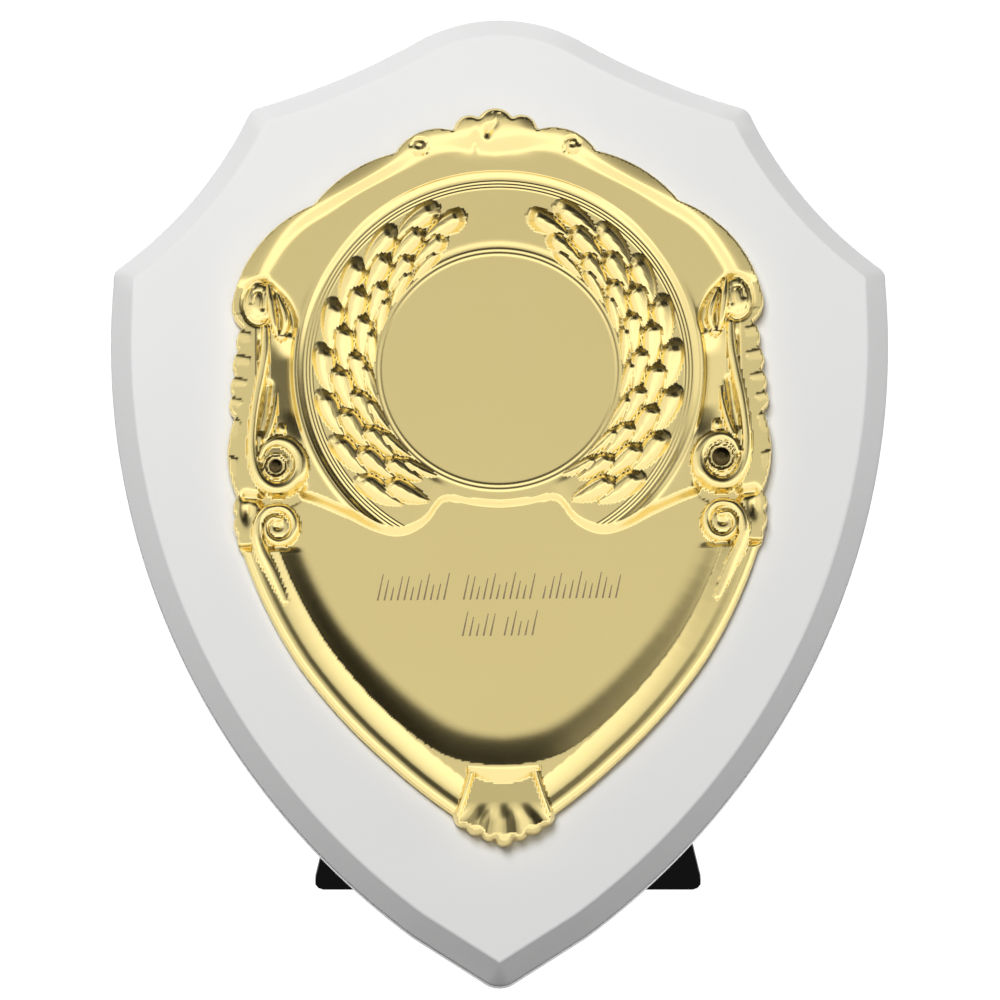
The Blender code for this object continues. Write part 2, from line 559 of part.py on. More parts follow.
def stamped_front(parent, material):
    edge = front_outline()
    bm = bmesh.new()
    bm.faces.new([bm.verts.new((x, y, 0)) for x, y in edge])
    for axis, low, high in ((0, -56.0, 56.0), (1, -100.0, 56.0)):
        normal = (1, 0, 0) if axis == 0 else (0, 1, 0)
        for place in np.arange(low, high, GRID):
            point = (place, 0, 0) if axis == 0 else (0, place, 0)
            geometry = bm.verts[:] + bm.edges[:] + bm.faces[:]
            bmesh.ops.bisect_plane(bm, geom=geometry, dist=0.02, plane_co=point, plane_no=normal)
    bmesh.ops.triangulate(bm, faces=bm.faces)
    places = np.array([v.co[:2] for v in bm.verts])
    heights = front_relief(places[:, 0], places[:, 1], edge)
    for vert, height in zip(bm.verts, heights):
        vert.co.z = height
    ratio = FRONT_TRIANGLES / len(bm.faces)
    sheet = make_object("front_surface", bm, CUTTERS)
    thin = sheet.modifiers.new("Fewer faces", "DECIMATE")
    thin.ratio = ratio
    graph = bpy.context.evaluated_depsgraph_get()
    mesh = bpy.data.meshes.new_from_object(sheet.evaluated_get(graph))
    bpy.data.objects.remove(sheet, do_unlink=True)

    bm = bmesh.new()
    bm.from_mesh(mesh)
    bmesh.ops.scale(bm, vec=(1 / MM, 1 / MM, 1 / MM), verts=bm.verts)
    made = bmesh.ops.extrude_face_region(bm, geom=bm.faces[:])
    lowered = [v for v in made["geom"] if isinstance(v, bmesh.types.BMVert)]
    bmesh.ops.translate(bm, vec=(0, 0, -SHEET), verts=lowered)
    item = make_object("shield_front", bm, PARTS, material, parent)
    item.location = (FRONT_CENTRE[0] * MM, FRONT_CENTRE[1] * MM, BOARD_THICKNESS * MM)
    item.rotation_euler = (0, 0, FRONT_TURN)
    return item


def front_to_board(x, y):
    """A place on the front in the board frame."""
    turned_x = x * math.cos(FRONT_TURN) - y * math.sin(FRONT_TURN)
    turned_y = x * math.sin(FRONT_TURN) + y * math.cos(FRONT_TURN)
    return FRONT_CENTRE[0] + turned_x, FRONT_CENTRE[1] + turned_y


def shield_board(parent, material):
    bm = extruded(board_outline(), 0.0, BOARD_THICKNESS)
    rim = [e for e in bm.edges if all(abs(v.co.z - BOARD_THICKNESS) < 1e-4 for v in e.verts)]
    bmesh.ops.bevel(bm, geom=rim, offset=CHAMFER, segments=1, affect="EDGES", clamp_overlap=False)
    corners = ((SHOULDER, CORNER_ROUND), (HIP, CORNER_ROUND), ((0.0, -0.8), TIP_ROUND))
    for (corner_x, corner_y), round_off in corners:
        edges = []
        for edge in bm.edges:
            low = min(edge.verts, key=lambda v: v.co.z)
            rises = abs(edge.verts[0].co.z - edge.verts[1].co.z) > 1.0
            if rises and abs(abs(low.co.x) - corner_x) < 0.3 and abs(low.co.y - corner_y) < 0.3:
                edges.append(edge)
        bmesh.ops.bevel(bm, geom=edges, offset=round_off, segments=3, profile=0.5, affect="EDGES")
    # The back gets its own faces above the hinge plate, where it is bare
    geometry = bm.verts[:] + bm.edges[:] + bm.faces[:]
    bmesh.ops.bisect_plane(bm, geom=geometry, plane_co=(0, BARE_BACK_FROM, 0), plane_no=(0, 1, 0))
    board = make_object("shield_board", bm, PARTS, material, parent)
    return board


def half_turn_hinge_plate(parent, material):
    """The plate on the board's back with its two outer knuckles, about the hinge axis."""
    near = HINGE_BACK - GAP
    bm = box((-HINGE_HALF_WIDTH, 0.0, near - HINGE_PLATE_THICKNESS),
             (HINGE_HALF_WIDTH, HINGE_PLATE_TOP, near))
    corners = [e for e in bm.edges if all(v.co.y > HINGE_PLATE_TOP - 0.1 for v in e.verts)
               and abs(e.verts[0].co.x - e.verts[1].co.x) < 0.1]
    bmesh.ops.bevel(bm, geom=corners, offset=4.0, segments=4, profile=0.5, affect="EDGES")
    item = make_object("strut_hinge_plate", bm, PARTS, material, parent)
    slot = make_cutter("slot_for_leg_knuckle",
                       box((-LEG_KNUCKLE_HALF - 0.5, -5.0, -9.0), (LEG_KNUCKLE_HALF + 0.5, 3.4, 9.0)),
                       parent)
    for name, sign in (("left", -1), ("right", 1)):
        middle = sign * (HINGE_HALF_WIDTH + LEG_KNUCKLE_HALF + 0.5) / 2
        half = (HINGE_HALF_WIDTH - LEG_KNUCKLE_HALF - 0.5) / 2
        knuckle = make_cutter("knuckle_" + name, cross_cylinder(KNUCKLE_RADIUS, half, middle), parent)
        boolean(item, knuckle, "UNION")
    boolean(item, slot)
    bore = make_cutter("bore", cross_cylinder(KNUCKLE_BORE, 30.0), parent)
    boolean(item, bore)
    for name, sign in (("left", -1), ("right", 1)):
        hole = make_cutter("plate_screw_hole_" + name,
                           cylinder(SCREW_RADIUS + GAP, -9.0, 9.0, 16, (sign * SCREW_OFFSET[0],
                                                                         SCREW_OFFSET[1])), parent)
        boolean(item, hole)
    return item


def strut_leg(parent, material):
    """The tapered leaf that hangs from the hinge axis, down its own -Y."""
    length = leg_length()
    top, bottom = -LEG_SHOULDER, -length
    half = [(LEG_TOP_HALF, top)]
    slope = (LEG_FOOT_HALF - LEG_TOP_HALF) / (length - LEG_SHOULDER)
    half.append((LEG_FOOT_HALF - LEG_CORNER * 1.1 * slope, bottom + LEG_CORNER * 1.1))
    half += arc_points(half[-1], (LEG_FOOT_HALF - LEG_CORNER, bottom), LEG_CORNER * 0.32)
    outline = half + [(-x, y) for x, y in reversed(half)]
    bm = extruded(outline, -LEG_THICKNESS / 2, LEG_THICKNESS / 2)
    item = make_object("strut_leg", bm, PARTS, material, parent)
    # Its upper end comes against the board's back when the leg is open, and stops it
    tongue = make_cutter("leg_tongue", box((-LEG_KNUCKLE_HALF, -8.0, -LEG_THICKNESS / 2),
                                           (LEG_KNUCKLE_HALF, LEG_HEEL, LEG_THICKNESS / 2)), parent)
    knuckle = make_cutter("leg_knuckle", cross_cylinder(KNUCKLE_RADIUS, LEG_KNUCKLE_HALF), parent)
    bore = make_cutter("leg_bore", cross_cylinder(KNUCKLE_BORE, 30.0), parent)
    boolean(item, tongue, "UNION")
    boolean(item, knuckle, "UNION")
    boolean(item, bore)
    return item


def hinge_height():
    """World height of the hinge axis over the surface the tip stands on."""
    return HINGE_UP * math.cos(LEAN) - HINGE_BACK * math.sin(LEAN)


def leg_length():
    """Length that brings the leg's lower corner to that surface."""
    rest = TIP_LEVEL * math.cos(LEAN) + LEG_THICKNESS / 2 * math.cos(LEG_STEEPNESS)
    drop = hinge_height() - rest
    return drop / math.sin(LEG_STEEPNESS)


def turned_head(name, radius, height, shank, depth, parent, material, segments=20):
    """A domed head on a shank: the profile runs down its outer side and is turned about Z."""
    steps = 4
    points = [(0.0, height)]
    for step in range(1, steps + 1):
        angle = math.pi / 2 * step / steps
        points.append((radius * math.sin(angle), height * math.cos(angle)))
    points += [(shank, 0.0), (shank, -depth), (0.0, -depth)]
    bm = bmesh.new()
    verts = [bm.verts.new((x, 0, z)) for x, z in points]
    for a, b in zip(verts, verts[1:]):
        bm.edges.new((a, b))
    bmesh.ops.spin(bm, geom=bm.verts[:] + bm.edges[:], cent=(0, 0, 0), axis=(0, 0, 1),
                   angle=2 * math.pi, steps=segments, use_merge=True)
    bmesh.ops.remove_doubles(bm, verts=bm.verts, dist=1e-4)
    item = make_object(name, bm, PARTS, material, parent)
    return item


def build():
    white = make_material("white_lacquer", (0.86, 0.86, 0.86), 0.15, 0.0)
    gilt = make_material("gilt", (0.87, 0.69, 0.31), 0.2, 1.0)
    black = make_material("black_enamel", (0.012, 0.012, 0.013), 0.35, 0.0)
    steel = make_material("blackened_steel", (0.03, 0.03, 0.032), 0.3, 1.0)
    brass = make_material("brass_nail", (0.5, 0.36, 0.12), 0.25, 1.0)

    stand = bpy.data.objects.new("stand", None)
    PARTS.objects.link(stand)
    frame = bpy.data.objects.new("board_frame", None)
    PARTS.objects.link(frame)
    frame.parent = stand
    frame.rotation_euler = (math.pi / 2 - LEAN, 0, 0)
    hinge = bpy.data.objects.new("hinge_frame", None)
    PARTS.objects.link(hinge)
    hinge.parent = frame
    hinge.location = (STRUT_ASIDE * MM, HINGE_UP * MM, -HINGE_BACK * MM)
    leg_frame = bpy.data.objects.new("leg_frame", None)
    PARTS.objects.link(leg_frame)
    leg_frame.parent = hinge
    # The leg's -Y points down the board when folded and swings back by this angle when open
    leg_frame.rotation_euler = (LEAN + math.pi / 2 - LEG_STEEPNESS, 0, 0)

    board = shield_board(frame, white)
    front = stamped_front(frame, gilt)
    half_turn_hinge_plate(hinge, black)
    strut_leg(leg_frame, black)
    make_object("hinge_pin", cross_cylinder(PIN_RADIUS, STRUT_PIN_HALF), PARTS, steel, hinge)

    for name, sign in (("left", -1), ("right", 1)):
        x, y = sign * SCREW_OFFSET[0], SCREW_OFFSET[1]
        head_base = HINGE_BACK - GAP - HINGE_PLATE_THICKNESS - GAP
        screw = turned_head("hinge_screw_" + name, SCREW_HEAD_RADIUS, SCREW_HEAD_HEIGHT, SCREW_RADIUS,
                            HINGE_PLATE_THICKNESS + 2 * GAP + SCREW_DEPTH - 0.5, hinge, steel)
        screw.location = (x * MM, y * MM, head_base * MM)
        screw.rotation_euler = (math.pi, 0, 0)
        hole = make_cutter("board_screw_hole_" + name,
                           cylinder(SCREW_RADIUS + GAP, -1.0, SCREW_DEPTH, 16,
                                    (x + STRUT_ASIDE, y + HINGE_UP)), frame)
        boolean(board, hole)

    for name, seat_x, seat_y, head_radius in NAILS:
        nail_x, nail_y = front_to_board(seat_x, seat_y)
        nail = turned_head("front_nail_" + name, head_radius, 0.7, NAIL_RADIUS,
                           NAIL_SEAT + NAIL_DEPTH - 0.5, frame, brass, 16)
        nail.location = (nail_x * MM, nail_y * MM, (BOARD_THICKNESS + NAIL_SEAT) * MM)
        socket = make_cutter("board_nail_hole_" + name,
                             cylinder(NAIL_RADIUS + GAP, BOARD_THICKNESS - NAIL_DEPTH,
                                      BOARD_THICKNESS + 1.0, 12, (nail_x, nail_y)), frame)
        boolean(board, socket)
        punch = make_cutter("front_nail_hole_" + name,
                            cylinder(NAIL_RADIUS + GAP, 0.0, 12.0, 12, (seat_x, seat_y)), front)
        boolean(front, punch)

    # Bring the lowest point to Z = 0 and the middle of the footprint to the origin
    bpy.context.view_layer.update()
    graph = bpy.context.evaluated_depsgraph_get()
    corners = []
    for item in PARTS.objects:
        if item.type == "MESH":
            shape = item.evaluated_get(graph)
            corners += [item.matrix_world @ v.co for v in shape.data.vertices]
    places = np.array(corners)
    low, high = places.min(axis=0), places.max(axis=0)
    stand.location = (-(low[0] + high[0]) / 2, -(low[1] + high[1]) / 2, -low[2])
    for item in PARTS.objects:
        if item.type == "MESH" and item is not front:
            shade_smooth(item)


clear_scene()
PARTS = bpy.data.collections.new("award_shield_plaque")
CUTTERS = bpy.data.collections.new("cutters")
bpy.context.scene.collection.children.link(PARTS)
bpy.context.scene.collection.children.link(CUTTERS)
build()
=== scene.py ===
"""Looks of an award shield plaque: white lacquered board, stamped gilt front, black strut."""

import json
import math

import bmesh
import bpy
import numpy as np
from mathutils import Matrix, Vector

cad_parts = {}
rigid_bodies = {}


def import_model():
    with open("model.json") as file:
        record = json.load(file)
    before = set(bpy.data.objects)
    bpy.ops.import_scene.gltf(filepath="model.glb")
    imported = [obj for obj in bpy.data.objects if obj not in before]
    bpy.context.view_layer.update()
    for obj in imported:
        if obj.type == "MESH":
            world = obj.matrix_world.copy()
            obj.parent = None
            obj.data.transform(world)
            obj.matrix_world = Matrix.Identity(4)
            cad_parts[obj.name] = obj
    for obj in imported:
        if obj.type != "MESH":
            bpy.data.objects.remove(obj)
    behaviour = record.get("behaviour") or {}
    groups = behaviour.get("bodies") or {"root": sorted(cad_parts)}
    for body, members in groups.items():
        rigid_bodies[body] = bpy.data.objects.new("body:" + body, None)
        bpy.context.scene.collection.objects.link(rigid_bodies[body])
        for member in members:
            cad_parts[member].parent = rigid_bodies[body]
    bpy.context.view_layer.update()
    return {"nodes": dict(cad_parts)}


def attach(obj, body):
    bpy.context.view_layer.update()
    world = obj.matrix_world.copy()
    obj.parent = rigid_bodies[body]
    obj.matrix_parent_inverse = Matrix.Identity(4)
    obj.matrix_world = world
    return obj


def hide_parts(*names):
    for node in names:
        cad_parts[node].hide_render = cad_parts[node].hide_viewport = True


for item in list(bpy.data.objects):
    bpy.data.objects.remove(item, do_unlink=True)
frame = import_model()

MM = 0.001
TOUCH = 1e-6                # metres within which two heights are the same

# Stance, as in the part's source
LEAN = math.radians(23.0)
STAND_SHIFT = Vector((0.0, -0.041457, -0.000126))
BOARD_FRAME = Matrix.Translation(STAND_SHIFT) @ Matrix.Rotation(math.pi / 2 - LEAN, 4, "X")

# Board
BOARD_HEIGHT = 203.2
BOARD_THICKNESS = 8.0
CHAMFER = 4.4
CROWN_RADIUS = 34.0
CROWN_SWEEP = 30.0
NECK_RADIUS = 150.0
SHOULDER = (51.5, 184.0)
FLANK_SAGITTA = 2.95
HIP = (79.7, 149.4)
SIDE_RADIUS = 155.0
SIDE_CENTRE = (-74.8, 134.9)
BOARD_TIP = (0.0, -0.86)
CORNER_ROUND = 1.2
TIP_ROUND = 3.1
TIP_SIDE = 9.5              # below this height one long side meets the tip
CROWN_STEPS = 12
SIDE_STEPS = 60
BOARD_FLATNESS = 0.01       # how far a chord of the board's hollow arcs may lie off the arc
CORNER_REACH = 0.3          # how near an upright edge lies to the corner that it belongs to
CORNER_SEGMENTS = 6
PEAK_REACH = 1.6            # share of a corner's rounding within which its top points are drawn in
BOARD_WELD = 0.002
EDGE_SOFTNESS = 0.35
SOFTENED_ANGLE = math.radians(25)

# Place and mesh of the gilt front
FRONT_CENTRE = (-0.2, 127.3)
FRONT_TURN = math.radians(0.7)
FRONT_FRAME = (BOARD_FRAME
               @ Matrix.Translation((FRONT_CENTRE[0] * MM, FRONT_CENTRE[1] * MM, BOARD_THICKNESS * MM))
               @ Matrix.Rotation(FRONT_TURN, 4, "Z"))
FRONT_SPACING = 0.4         # mesh of the front outside the medallion
FRONT_GRID = (114.0, 157.0)
FRONT_GRID_MIDDLE = -22.0
EDGE_FLATNESS = 0.02
MEDALLION_REACH = 43.8
MEDALLION_SPOKES = 720
NORMAL_STEP = 0.04          # half the distance over which the relief's slope is taken
RIM_MARGIN = 0.12           # points nearer the edge than this keep the mesh's own normals
RIM_NEARNESS = 0.05         # points nearer the edge than this are on it
RING_WELD = 0.01
SEAM_WELD = 0.004           # between the rings and the grid round them
SMOOTH_ANGLE = math.radians(60)

# Studio: radiance of the walls against the steepness of the direction, and the sides' levels
FRONT_WALL = ((0.0, 1.5), (0.28, 1.35), (0.51, 0.72), (0.85, 0.68), (1.25, 0.05), (4.0, 0.03))
BACK_WALL = ((0.0, 1.6), (1.4, 1.4), (2.6, 0.1), (4.0, 0.03))
LEFT_WALL = 0.8
LEFT_GLOW = 0.2
RIGHT_SHADE = 0.8
FLOOR_SIZE = 40.0
FLOOR_GLOW = 1.08

# Area lights: name, place, side and power
LIGHTS = (
    ("key", (-0.2, -0.7, 0.92), 0.5, 10.9),
    ("low_fill", (0.4, -1.15, 0.12), 0.5, 2.3),
    ("left_fill", (-1.2, -0.15, 0.1), 0.5, 1.2),
    ("right_fill", (1.2, -0.15, 0.1), 0.5, 3.2),
    ("rear_fill", (0.4, 1.5, 0.4), 0.9, 22.0),
)
LIGHT_TARGET = (0.0, 0.0, 0.1)

CAMERA_AIM = Vector((0.0001, -0.00165, 0.0937))
CAMERA_DISTANCE = 1.8
CAMERA_ELEVATION = math.radians(11.0)
SHOWN_WIDTH = 0.206         # what the picture spans at the aim, in metres
SENSOR_WIDTH = 36.0

# Rows of engraved strokes on the field: left end, right end, foot, height, strokes, gaps
ENGRAVED_ROWS = ((-25.3, 23.4, -48.0, 5.6, 37, (11, 12, 24)), (-8.0, 6.2, -55.6, 5.2, 11, (5,)))
STROKE_FOOT = 0.19          # half widths of a stroke at its foot and its head
STROKE_HEAD = 0.09
STROKE_LEAN = 0.22
STROKE_VARIATION = 0.26     # share of the height that varies from stroke to stroke
STROKE_RHYTHM = 1.9
STROKE_PHASE = 1.2
STROKE_LIFT = 0.03
STROKE_DEPTH = 0.012

SHEET = 0.6                 # thickness of the gilt sheet
GAP = 0.3                   # between the sheet's edge and the board

# Heights of the front's upper surface above the board's face
EDGE_LEVEL = GAP + SHEET
FIELD_LEVEL = 1.0
DISC_LEVEL = 1.9
GROUND_LEVEL = 2.1
BAND_LEVEL = 2.8
RIM_LEVEL = 3.9
FLANK_LEVEL = 3.3
ROLLED_LEVEL = 4.6
ROLLED_REACH = 1.6

GROUND_OUTER = 38.0         # radius at which the wreath's ground meets the fine beads
BEAD_PITCH = 0.66
BEADS_OUTER = GROUND_OUTER + 3 * BEAD_PITCH
BEAD_HEIGHT = 0.09
DISC_BEADS = (24.4, 25.3)   # radii of the two beads on the disc's rim
DISC_BEAD_HEIGHT = 0.11
DISC_BEAD_WIDTH = 0.32
RAMP_START = 25.8           # from here the disc rises to the wreath's ground
RAMP_WIDTH = 1.6

# Rings of the medallion's mesh, close together where the beads are: first, last and how many
MEDALLION_RINGS = (
    (MEDALLION_REACH, BEADS_OUTER + 0.2, 15), (BEADS_OUTER + 0.1, GROUND_OUTER - 0.1, 20),
    (GROUND_OUTER - 0.5, 26.4, 27), (26.1, 23.4, 13),
)

# Right half of the front's edge from the top: x, y and the outward bulge of the arc ending there
FRONT_EDGE = [
    (0.0, 55.4, 0.0), (3.6, 53.5, 0.5), (8.8, 50.8, 1.6), (20.9, 46.1, 2.2), (37.8, 35.3, 1.7),
    (54.6, 15.5, 3.3), (52.6, 9.3, 1.0), (53.6, 4.4, 0.8), (54.2, -0.7, 0.8), (54.8, -4.9, 0.7),
    (54.4, -9.5, 0.9), (53.9, -26.3, 1.7), (54.3, -30.2, 0.7), (53.9, -34.6, 0.6),
    (52.7, -38.2, 0.4), (41.5, -61.6, 0.83), (23.5, -82.0, 0.8), (10.4, -92.8, 0.3), (7.9, -95.5, 0.8),
    (4.8, -96.9, 0.7), (1.95, -97.9, 0.75), (0.0, -99.4, 0.42),
]
BORDER_TOP = -36.4          # the plain lower border starts below this height
BORDER_ROLL = 2.7
BORDER_ROLL_WIDTH = 1.7
BORDER_SLOPE_START = 3.2    # from here the border rises again to its crest
BORDER_CREST = 3.0
BORDER_WIDTH = 7.3          # from the sheet's edge to the break into the cove
COVE_WIDTH = 5.5
COVE_FOOT = 90.6            # the hollow is rounded off above the shell

# Where the rolled upper rim rises from the flat band, and the line of its crest, right half
RIM_FOOT = [
    (0.0, 44.4), (5.0, 45.8), (12.0, 45.0), (18.0, 42.4), (22.5, 40.2), (28.5, 37.0), (34.0, 33.2),
    (39.0, 30.0), (42.5, 26.5), (45.0, 22.5), (47.0, 18.6),
]
RIM_CREST = [
    (0.0, 53.0), (5.0, 51.4), (9.5, 50.2), (14.0, 49.6), (18.2, 47.0), (22.5, 43.4), (28.5, 39.6),
    (35.0, 36.2), (39.5, 33.6), (43.5, 30.2), (46.4, 26.4), (49.0, 22.2), (50.8, 18.4),
]

# Edge of the raised upper part against the engraving field, right half, from the side inwards
PLATFORM_EDGE = [
    (70.0, -25.0), (46.0, -25.0), (39.5, -26.2), (31.5, -29.6), (26.0, -32.4), (21.5, -33.7),
    (18.0, -33.0), (15.0, -31.0), (11.6, -27.0), (6.0, -27.6), (0.0, -28.2),
]
PLATFORM_SLOPE = 2.0

# Wreath: radius of each row of leaves, first tip angle, leaf half width and height
WREATH_ROWS = [
    (35.6, 18.5, 2.5, 1.7), (32.2, 10.5, 2.5, 2.1), (29.0, 19.5, 2.2, 1.9), (26.7, 24.0, 1.4, 1.3),
]
WREATH_PITCH = 15.4
WREATH_END = 152.0
LEAF_REACH = 18.5           # angle from a leaf's tip to its stem
LEAF_SWING = 1.8            # how far a leaf's stem lies inside its tip

VOLUTE = (45.65, -19.7)
LOWER_SCROLL = (45.5, -32.8)
UPPER_SCROLL = (49.3, 14.3)
TOP_SCROLL = (15.9, 47.1)
NAILS = ((-45.9, -20.1, 1.4), (45.4, -19.2, 1.9))   # place and head radius
NAIL_FLOOR = 3.2
NAIL_RING = 3.9

# Lines of the grooves and valleys that are pressed in: x and y
TOP_SCROLL_HOOK = [(14.4, 46.2), (14.8, 47.9), (16.2, 48.3), (17.2, 47.2)]
UPPER_SCROLL_GROOVE = [
    (47.0, 18.0), (48.6, 18.8), (50.6, 18.2), (52.0, 15.8), (52.2, 13.0), (51.0, 10.6), (49.2, 9.8),
    (47.9, 10.4),
]
UPPER_SCROLL_HOOK = [(48.3, 13.0), (48.3, 15.4), (49.0, 16.7), (50.1, 16.2), (50.6, 14.4)]
PETAL_VALLEY = [(47.6, 18.6), (45.9, 17.0), (44.0, 14.9), (42.6, 12.3), (42.1, 9.8), (42.6, 8.2)]
# Paths of straps and petals: x, y, half width, crest height
PETALS = [
    [(47.1, 18.0, 0.5, 3.4), (46.8, 15.2, 1.1, 4.1), (46.4, 12.0, 1.15, 4.2), (45.9, 9.2, 0.9, 4.0),
     (45.5, 7.8, 0.6, 3.5)],
    [(45.3, 16.0, 0.5, 3.3), (44.3, 13.4, 1.0, 4.0), (43.7, 10.8, 1.05, 4.1), (43.9, 8.8, 0.9, 3.8),
     (44.6, 7.6, 0.6, 3.5)],
]
FLANK_VALLEY = [
    (48.6, 6.5), (49.6, 1.5), (50.6, -3.0), (51.6, -7.5), (52.2, -12.5), (52.6, -18.5), (52.0, -23.5),
]
FLANK_NOTCHES = [14.5, 9.4, 4.2, -0.7, -5.0, -9.3, -17.5, -25.3, -29.6, -36.0]
STRAP = [
    (47.8, 9.0, 0.9, 3.8), (47.9, 4.0, 1.2, 4.1), (48.7, -1.0, 1.2, 4.1), (49.7, -6.0, 1.2, 4.2),
    (50.4, -11.0, 1.2, 4.3), (50.7, -16.0, 1.3, 4.3), (50.2, -20.2, 1.4, 4.3), (48.6, -23.4, 1.5, 4.4),
    (46.0, -24.9, 1.6, 4.4), (43.0, -24.1, 1.7, 4.4), (41.0, -21.6, 1.8, 4.4), (41.0, -18.3, 1.7, 4.4),
    (42.8, -15.8, 1.6, 4.3), (45.6, -14.9, 1.3, 4.3), (47.9, -16.0, 1.0, 4.2), (49.0, -18.2, 0.8, 4.0),
]
INNER_STRAP = [
    (45.6, -4.5, 0.5, 3.1), (46.0, -8.0, 0.8, 3.7), (46.8, -11.5, 1.0, 4.0), (47.9, -14.6, 1.1, 4.1),
]
STRAP_RECESS = [(47.3, -3.0), (48.1, -8.0), (48.8, -12.5)]
LOWER_COIL = [
    (44.2, -48.0, 0.8, 2.9), (46.9, -42.0, 1.3, 3.3), (48.9, -38.0, 1.5, 3.8), (49.8, -34.4, 1.5, 4.2),
    (49.2, -31.2, 1.4, 4.3),
    (47.4, -29.2, 1.3, 4.3), (45.0, -28.8, 1.2, 4.3), (42.9, -30.2, 1.2, 4.2), (42.1, -32.8, 1.2, 4.1),
    (43.2, -35.3, 1.1, 4.1), (45.6, -36.1, 1.0, 4.0), (47.6, -34.8, 0.9, 3.9), (48.0, -32.6, 0.8, 3.8),
    (46.8, -31.0, 0.8, 3.8), (45.0, -31.2, 0.7, 3.8),
]
SCROLL_VALLEY = [(52.0, -26.4), (49.6, -26.8), (47.0, -27.3), (44.5, -27.1), (42.3, -26.2), (40.8, -24.6)]
CREST_CREASE = [(0.8, 53.4), (0.2, 51.6), (-1.0, 50.2)]
FAN_SIDE = [(6.6, -84.5, 0.9, 4.9), (7.7, -88.5, 0.9, 4.8), (9.2, -93.0, 0.9, 4.3)]


def arc_points(start, end, bulge, flatness):
    """Points after start up to end on the arc that bulges to the left of the way by bulge.

    The chords stay within flatness of the arc.
    """
    start, end = np.array(start), np.array(end)
    chord = end - start
    length = np.hypot(*chord)
    if abs(bulge) < 1e-6:
        return [tuple(end)]
    radius = (length * length / 4 + bulge * bulge) / (2 * bulge)
    left = np.array((-chord[1], chord[0])) / length
    centre = (start + end) / 2 + left * (bulge - radius)
    first = math.atan2(*(start - centre)[::-1])
    last = math.atan2(*(end - centre)[::-1])
    turn = (last - first + math.pi) % (2 * math.pi) - math.pi
    widest = 2 * math.acos(1 - flatness / abs(radius))
    count = max(2, math.ceil(abs(turn) / widest))
    angles = first + turn * np.arange(1, count + 1) / count
    return [tuple(centre + abs(radius) * np.array((math.cos(a), math.sin(a)))) for a in angles]


def mirrored_loop(half):
    """Close a right half that runs from the top centre to the bottom centre."""
    left = [(-x, y) for x, y in reversed(half[1:-1])]
    return half + left


def front_outline():
    """The gilt front's outline, with its arcs broken into chords."""
    half = [FRONT_EDGE[0][:2]]
    for (x0, y0, _), (x1, y1, bulge) in zip(FRONT_EDGE, FRONT_EDGE[1:]):
        half += arc_points((x0, y0), (x1, y1), bulge, EDGE_FLATNESS)
    return mirrored_loop([(float(x), float(y)) for x, y in half])


# Relief of the stamped front, on arrays of points

PATH_STEPS = 6              # pieces of a smooth path between two knots
ROUNDNESS = 0.6             # how full the cross-section of a ridge or dome is
STRAP_ROUNDNESS = 0.75


def ease(value):
    value = np.clip(value, 0.0, 1.0)
    return value * value * (3 - 2 * value)


def quarter_round(distance, reach, foot, crest):
    """Height of a rounded edge: upright at the rim and level at reach."""
    inner = np.clip(1 - distance / reach, 0, 1)
    return foot + (crest - foot) * np.sqrt(1 - inner * inner)


def distance_to(x, y, points, closed):
    """Distance to a polyline, and how far along it the nearest point lies."""
    points = np.array(points, dtype=float)[:, :2]
    ends = np.roll(points, -1, axis=0) if closed else points[1:]
    starts = points if closed else points[:-1]
    best = np.full(x.shape, 1e9)
    place = np.zeros(x.shape)
    for index, (a, b) in enumerate(zip(starts, ends)):
        way = b - a
        share = ((x - a[0]) * way[0] + (y - a[1]) * way[1]) / max(way @ way, 1e-12)
        share = np.clip(share, 0, 1)
        gap = np.hypot(x - a[0] - share * way[0], y - a[1] - share * way[1])
        nearer = gap < best
        best = np.where(nearer, gap, best)
        place = np.where(nearer, index + share, place)
    return best, place


def inside(x, y, points):
    """True where a point lies inside a closed outline, by crossings of a ray."""
    odd = np.zeros(x.shape, dtype=bool)
    for (x0, y0), (x1, y1) in zip(points, points[1:] + points[:1]):
        if y0 == y1:
            continue
        spans = (y0 > y) != (y1 > y)
        crossing = x0 + (y - y0) * (x1 - x0) / (y1 - y0)
        odd ^= spans & (x < crossing)
    return odd


def smooth_path(knots):
    """A Catmull-Rom curve through the knots, in all their columns."""
    knots = np.array(knots, dtype=float)
    padded = np.vstack([2 * knots[0] - knots[1], knots, 2 * knots[-1] - knots[-2]])
    rows = []
    for p0, p1, p2, p3 in zip(padded, padded[1:], padded[2:], padded[3:]):
        for step in range(PATH_STEPS):
            t = step / PATH_STEPS
            rows.append(0.5 * (2 * p1 + (p2 - p0) * t + (2 * p0 - 5 * p1 + 4 * p2 - p3) * t * t
                               + (3 * p1 - p0 - 3 * p2 + p3) * t ** 3))
    rows.append(knots[-1])
    return np.array(rows)


def near(x, y, path, margin):
    """The points of a patch round a path, so that far ones cost nothing."""
    path = np.array(path, dtype=float)
    return ((x > path[:, 0].min() - margin) & (x < path[:, 0].max() + margin)
            & (y > path[:, 1].min() - margin) & (y < path[:, 1].max() + margin))


def raise_ridge(height, x, y, knots, foot, roundness=ROUNDNESS):
    """Lift a rounded ridge along a path of x, y, half width and crest out of the surface."""
    patch = near(x, y, knots, 3.0)
    path = smooth_path(knots)
    gap, place = distance_to(x[patch], y[patch], path, False)
    index = np.arange(len(path))
    half_width = np.interp(place, index, path[:, 2])
    crest = np.interp(place, index, path[:, 3])
    across = np.clip(1 - (gap / half_width) ** 2, 0, 1)
    lifted = np.where(gap < half_width, foot + (crest - foot) * across ** roundness, 0.0)
    height[patch] = np.maximum(height[patch], lifted)


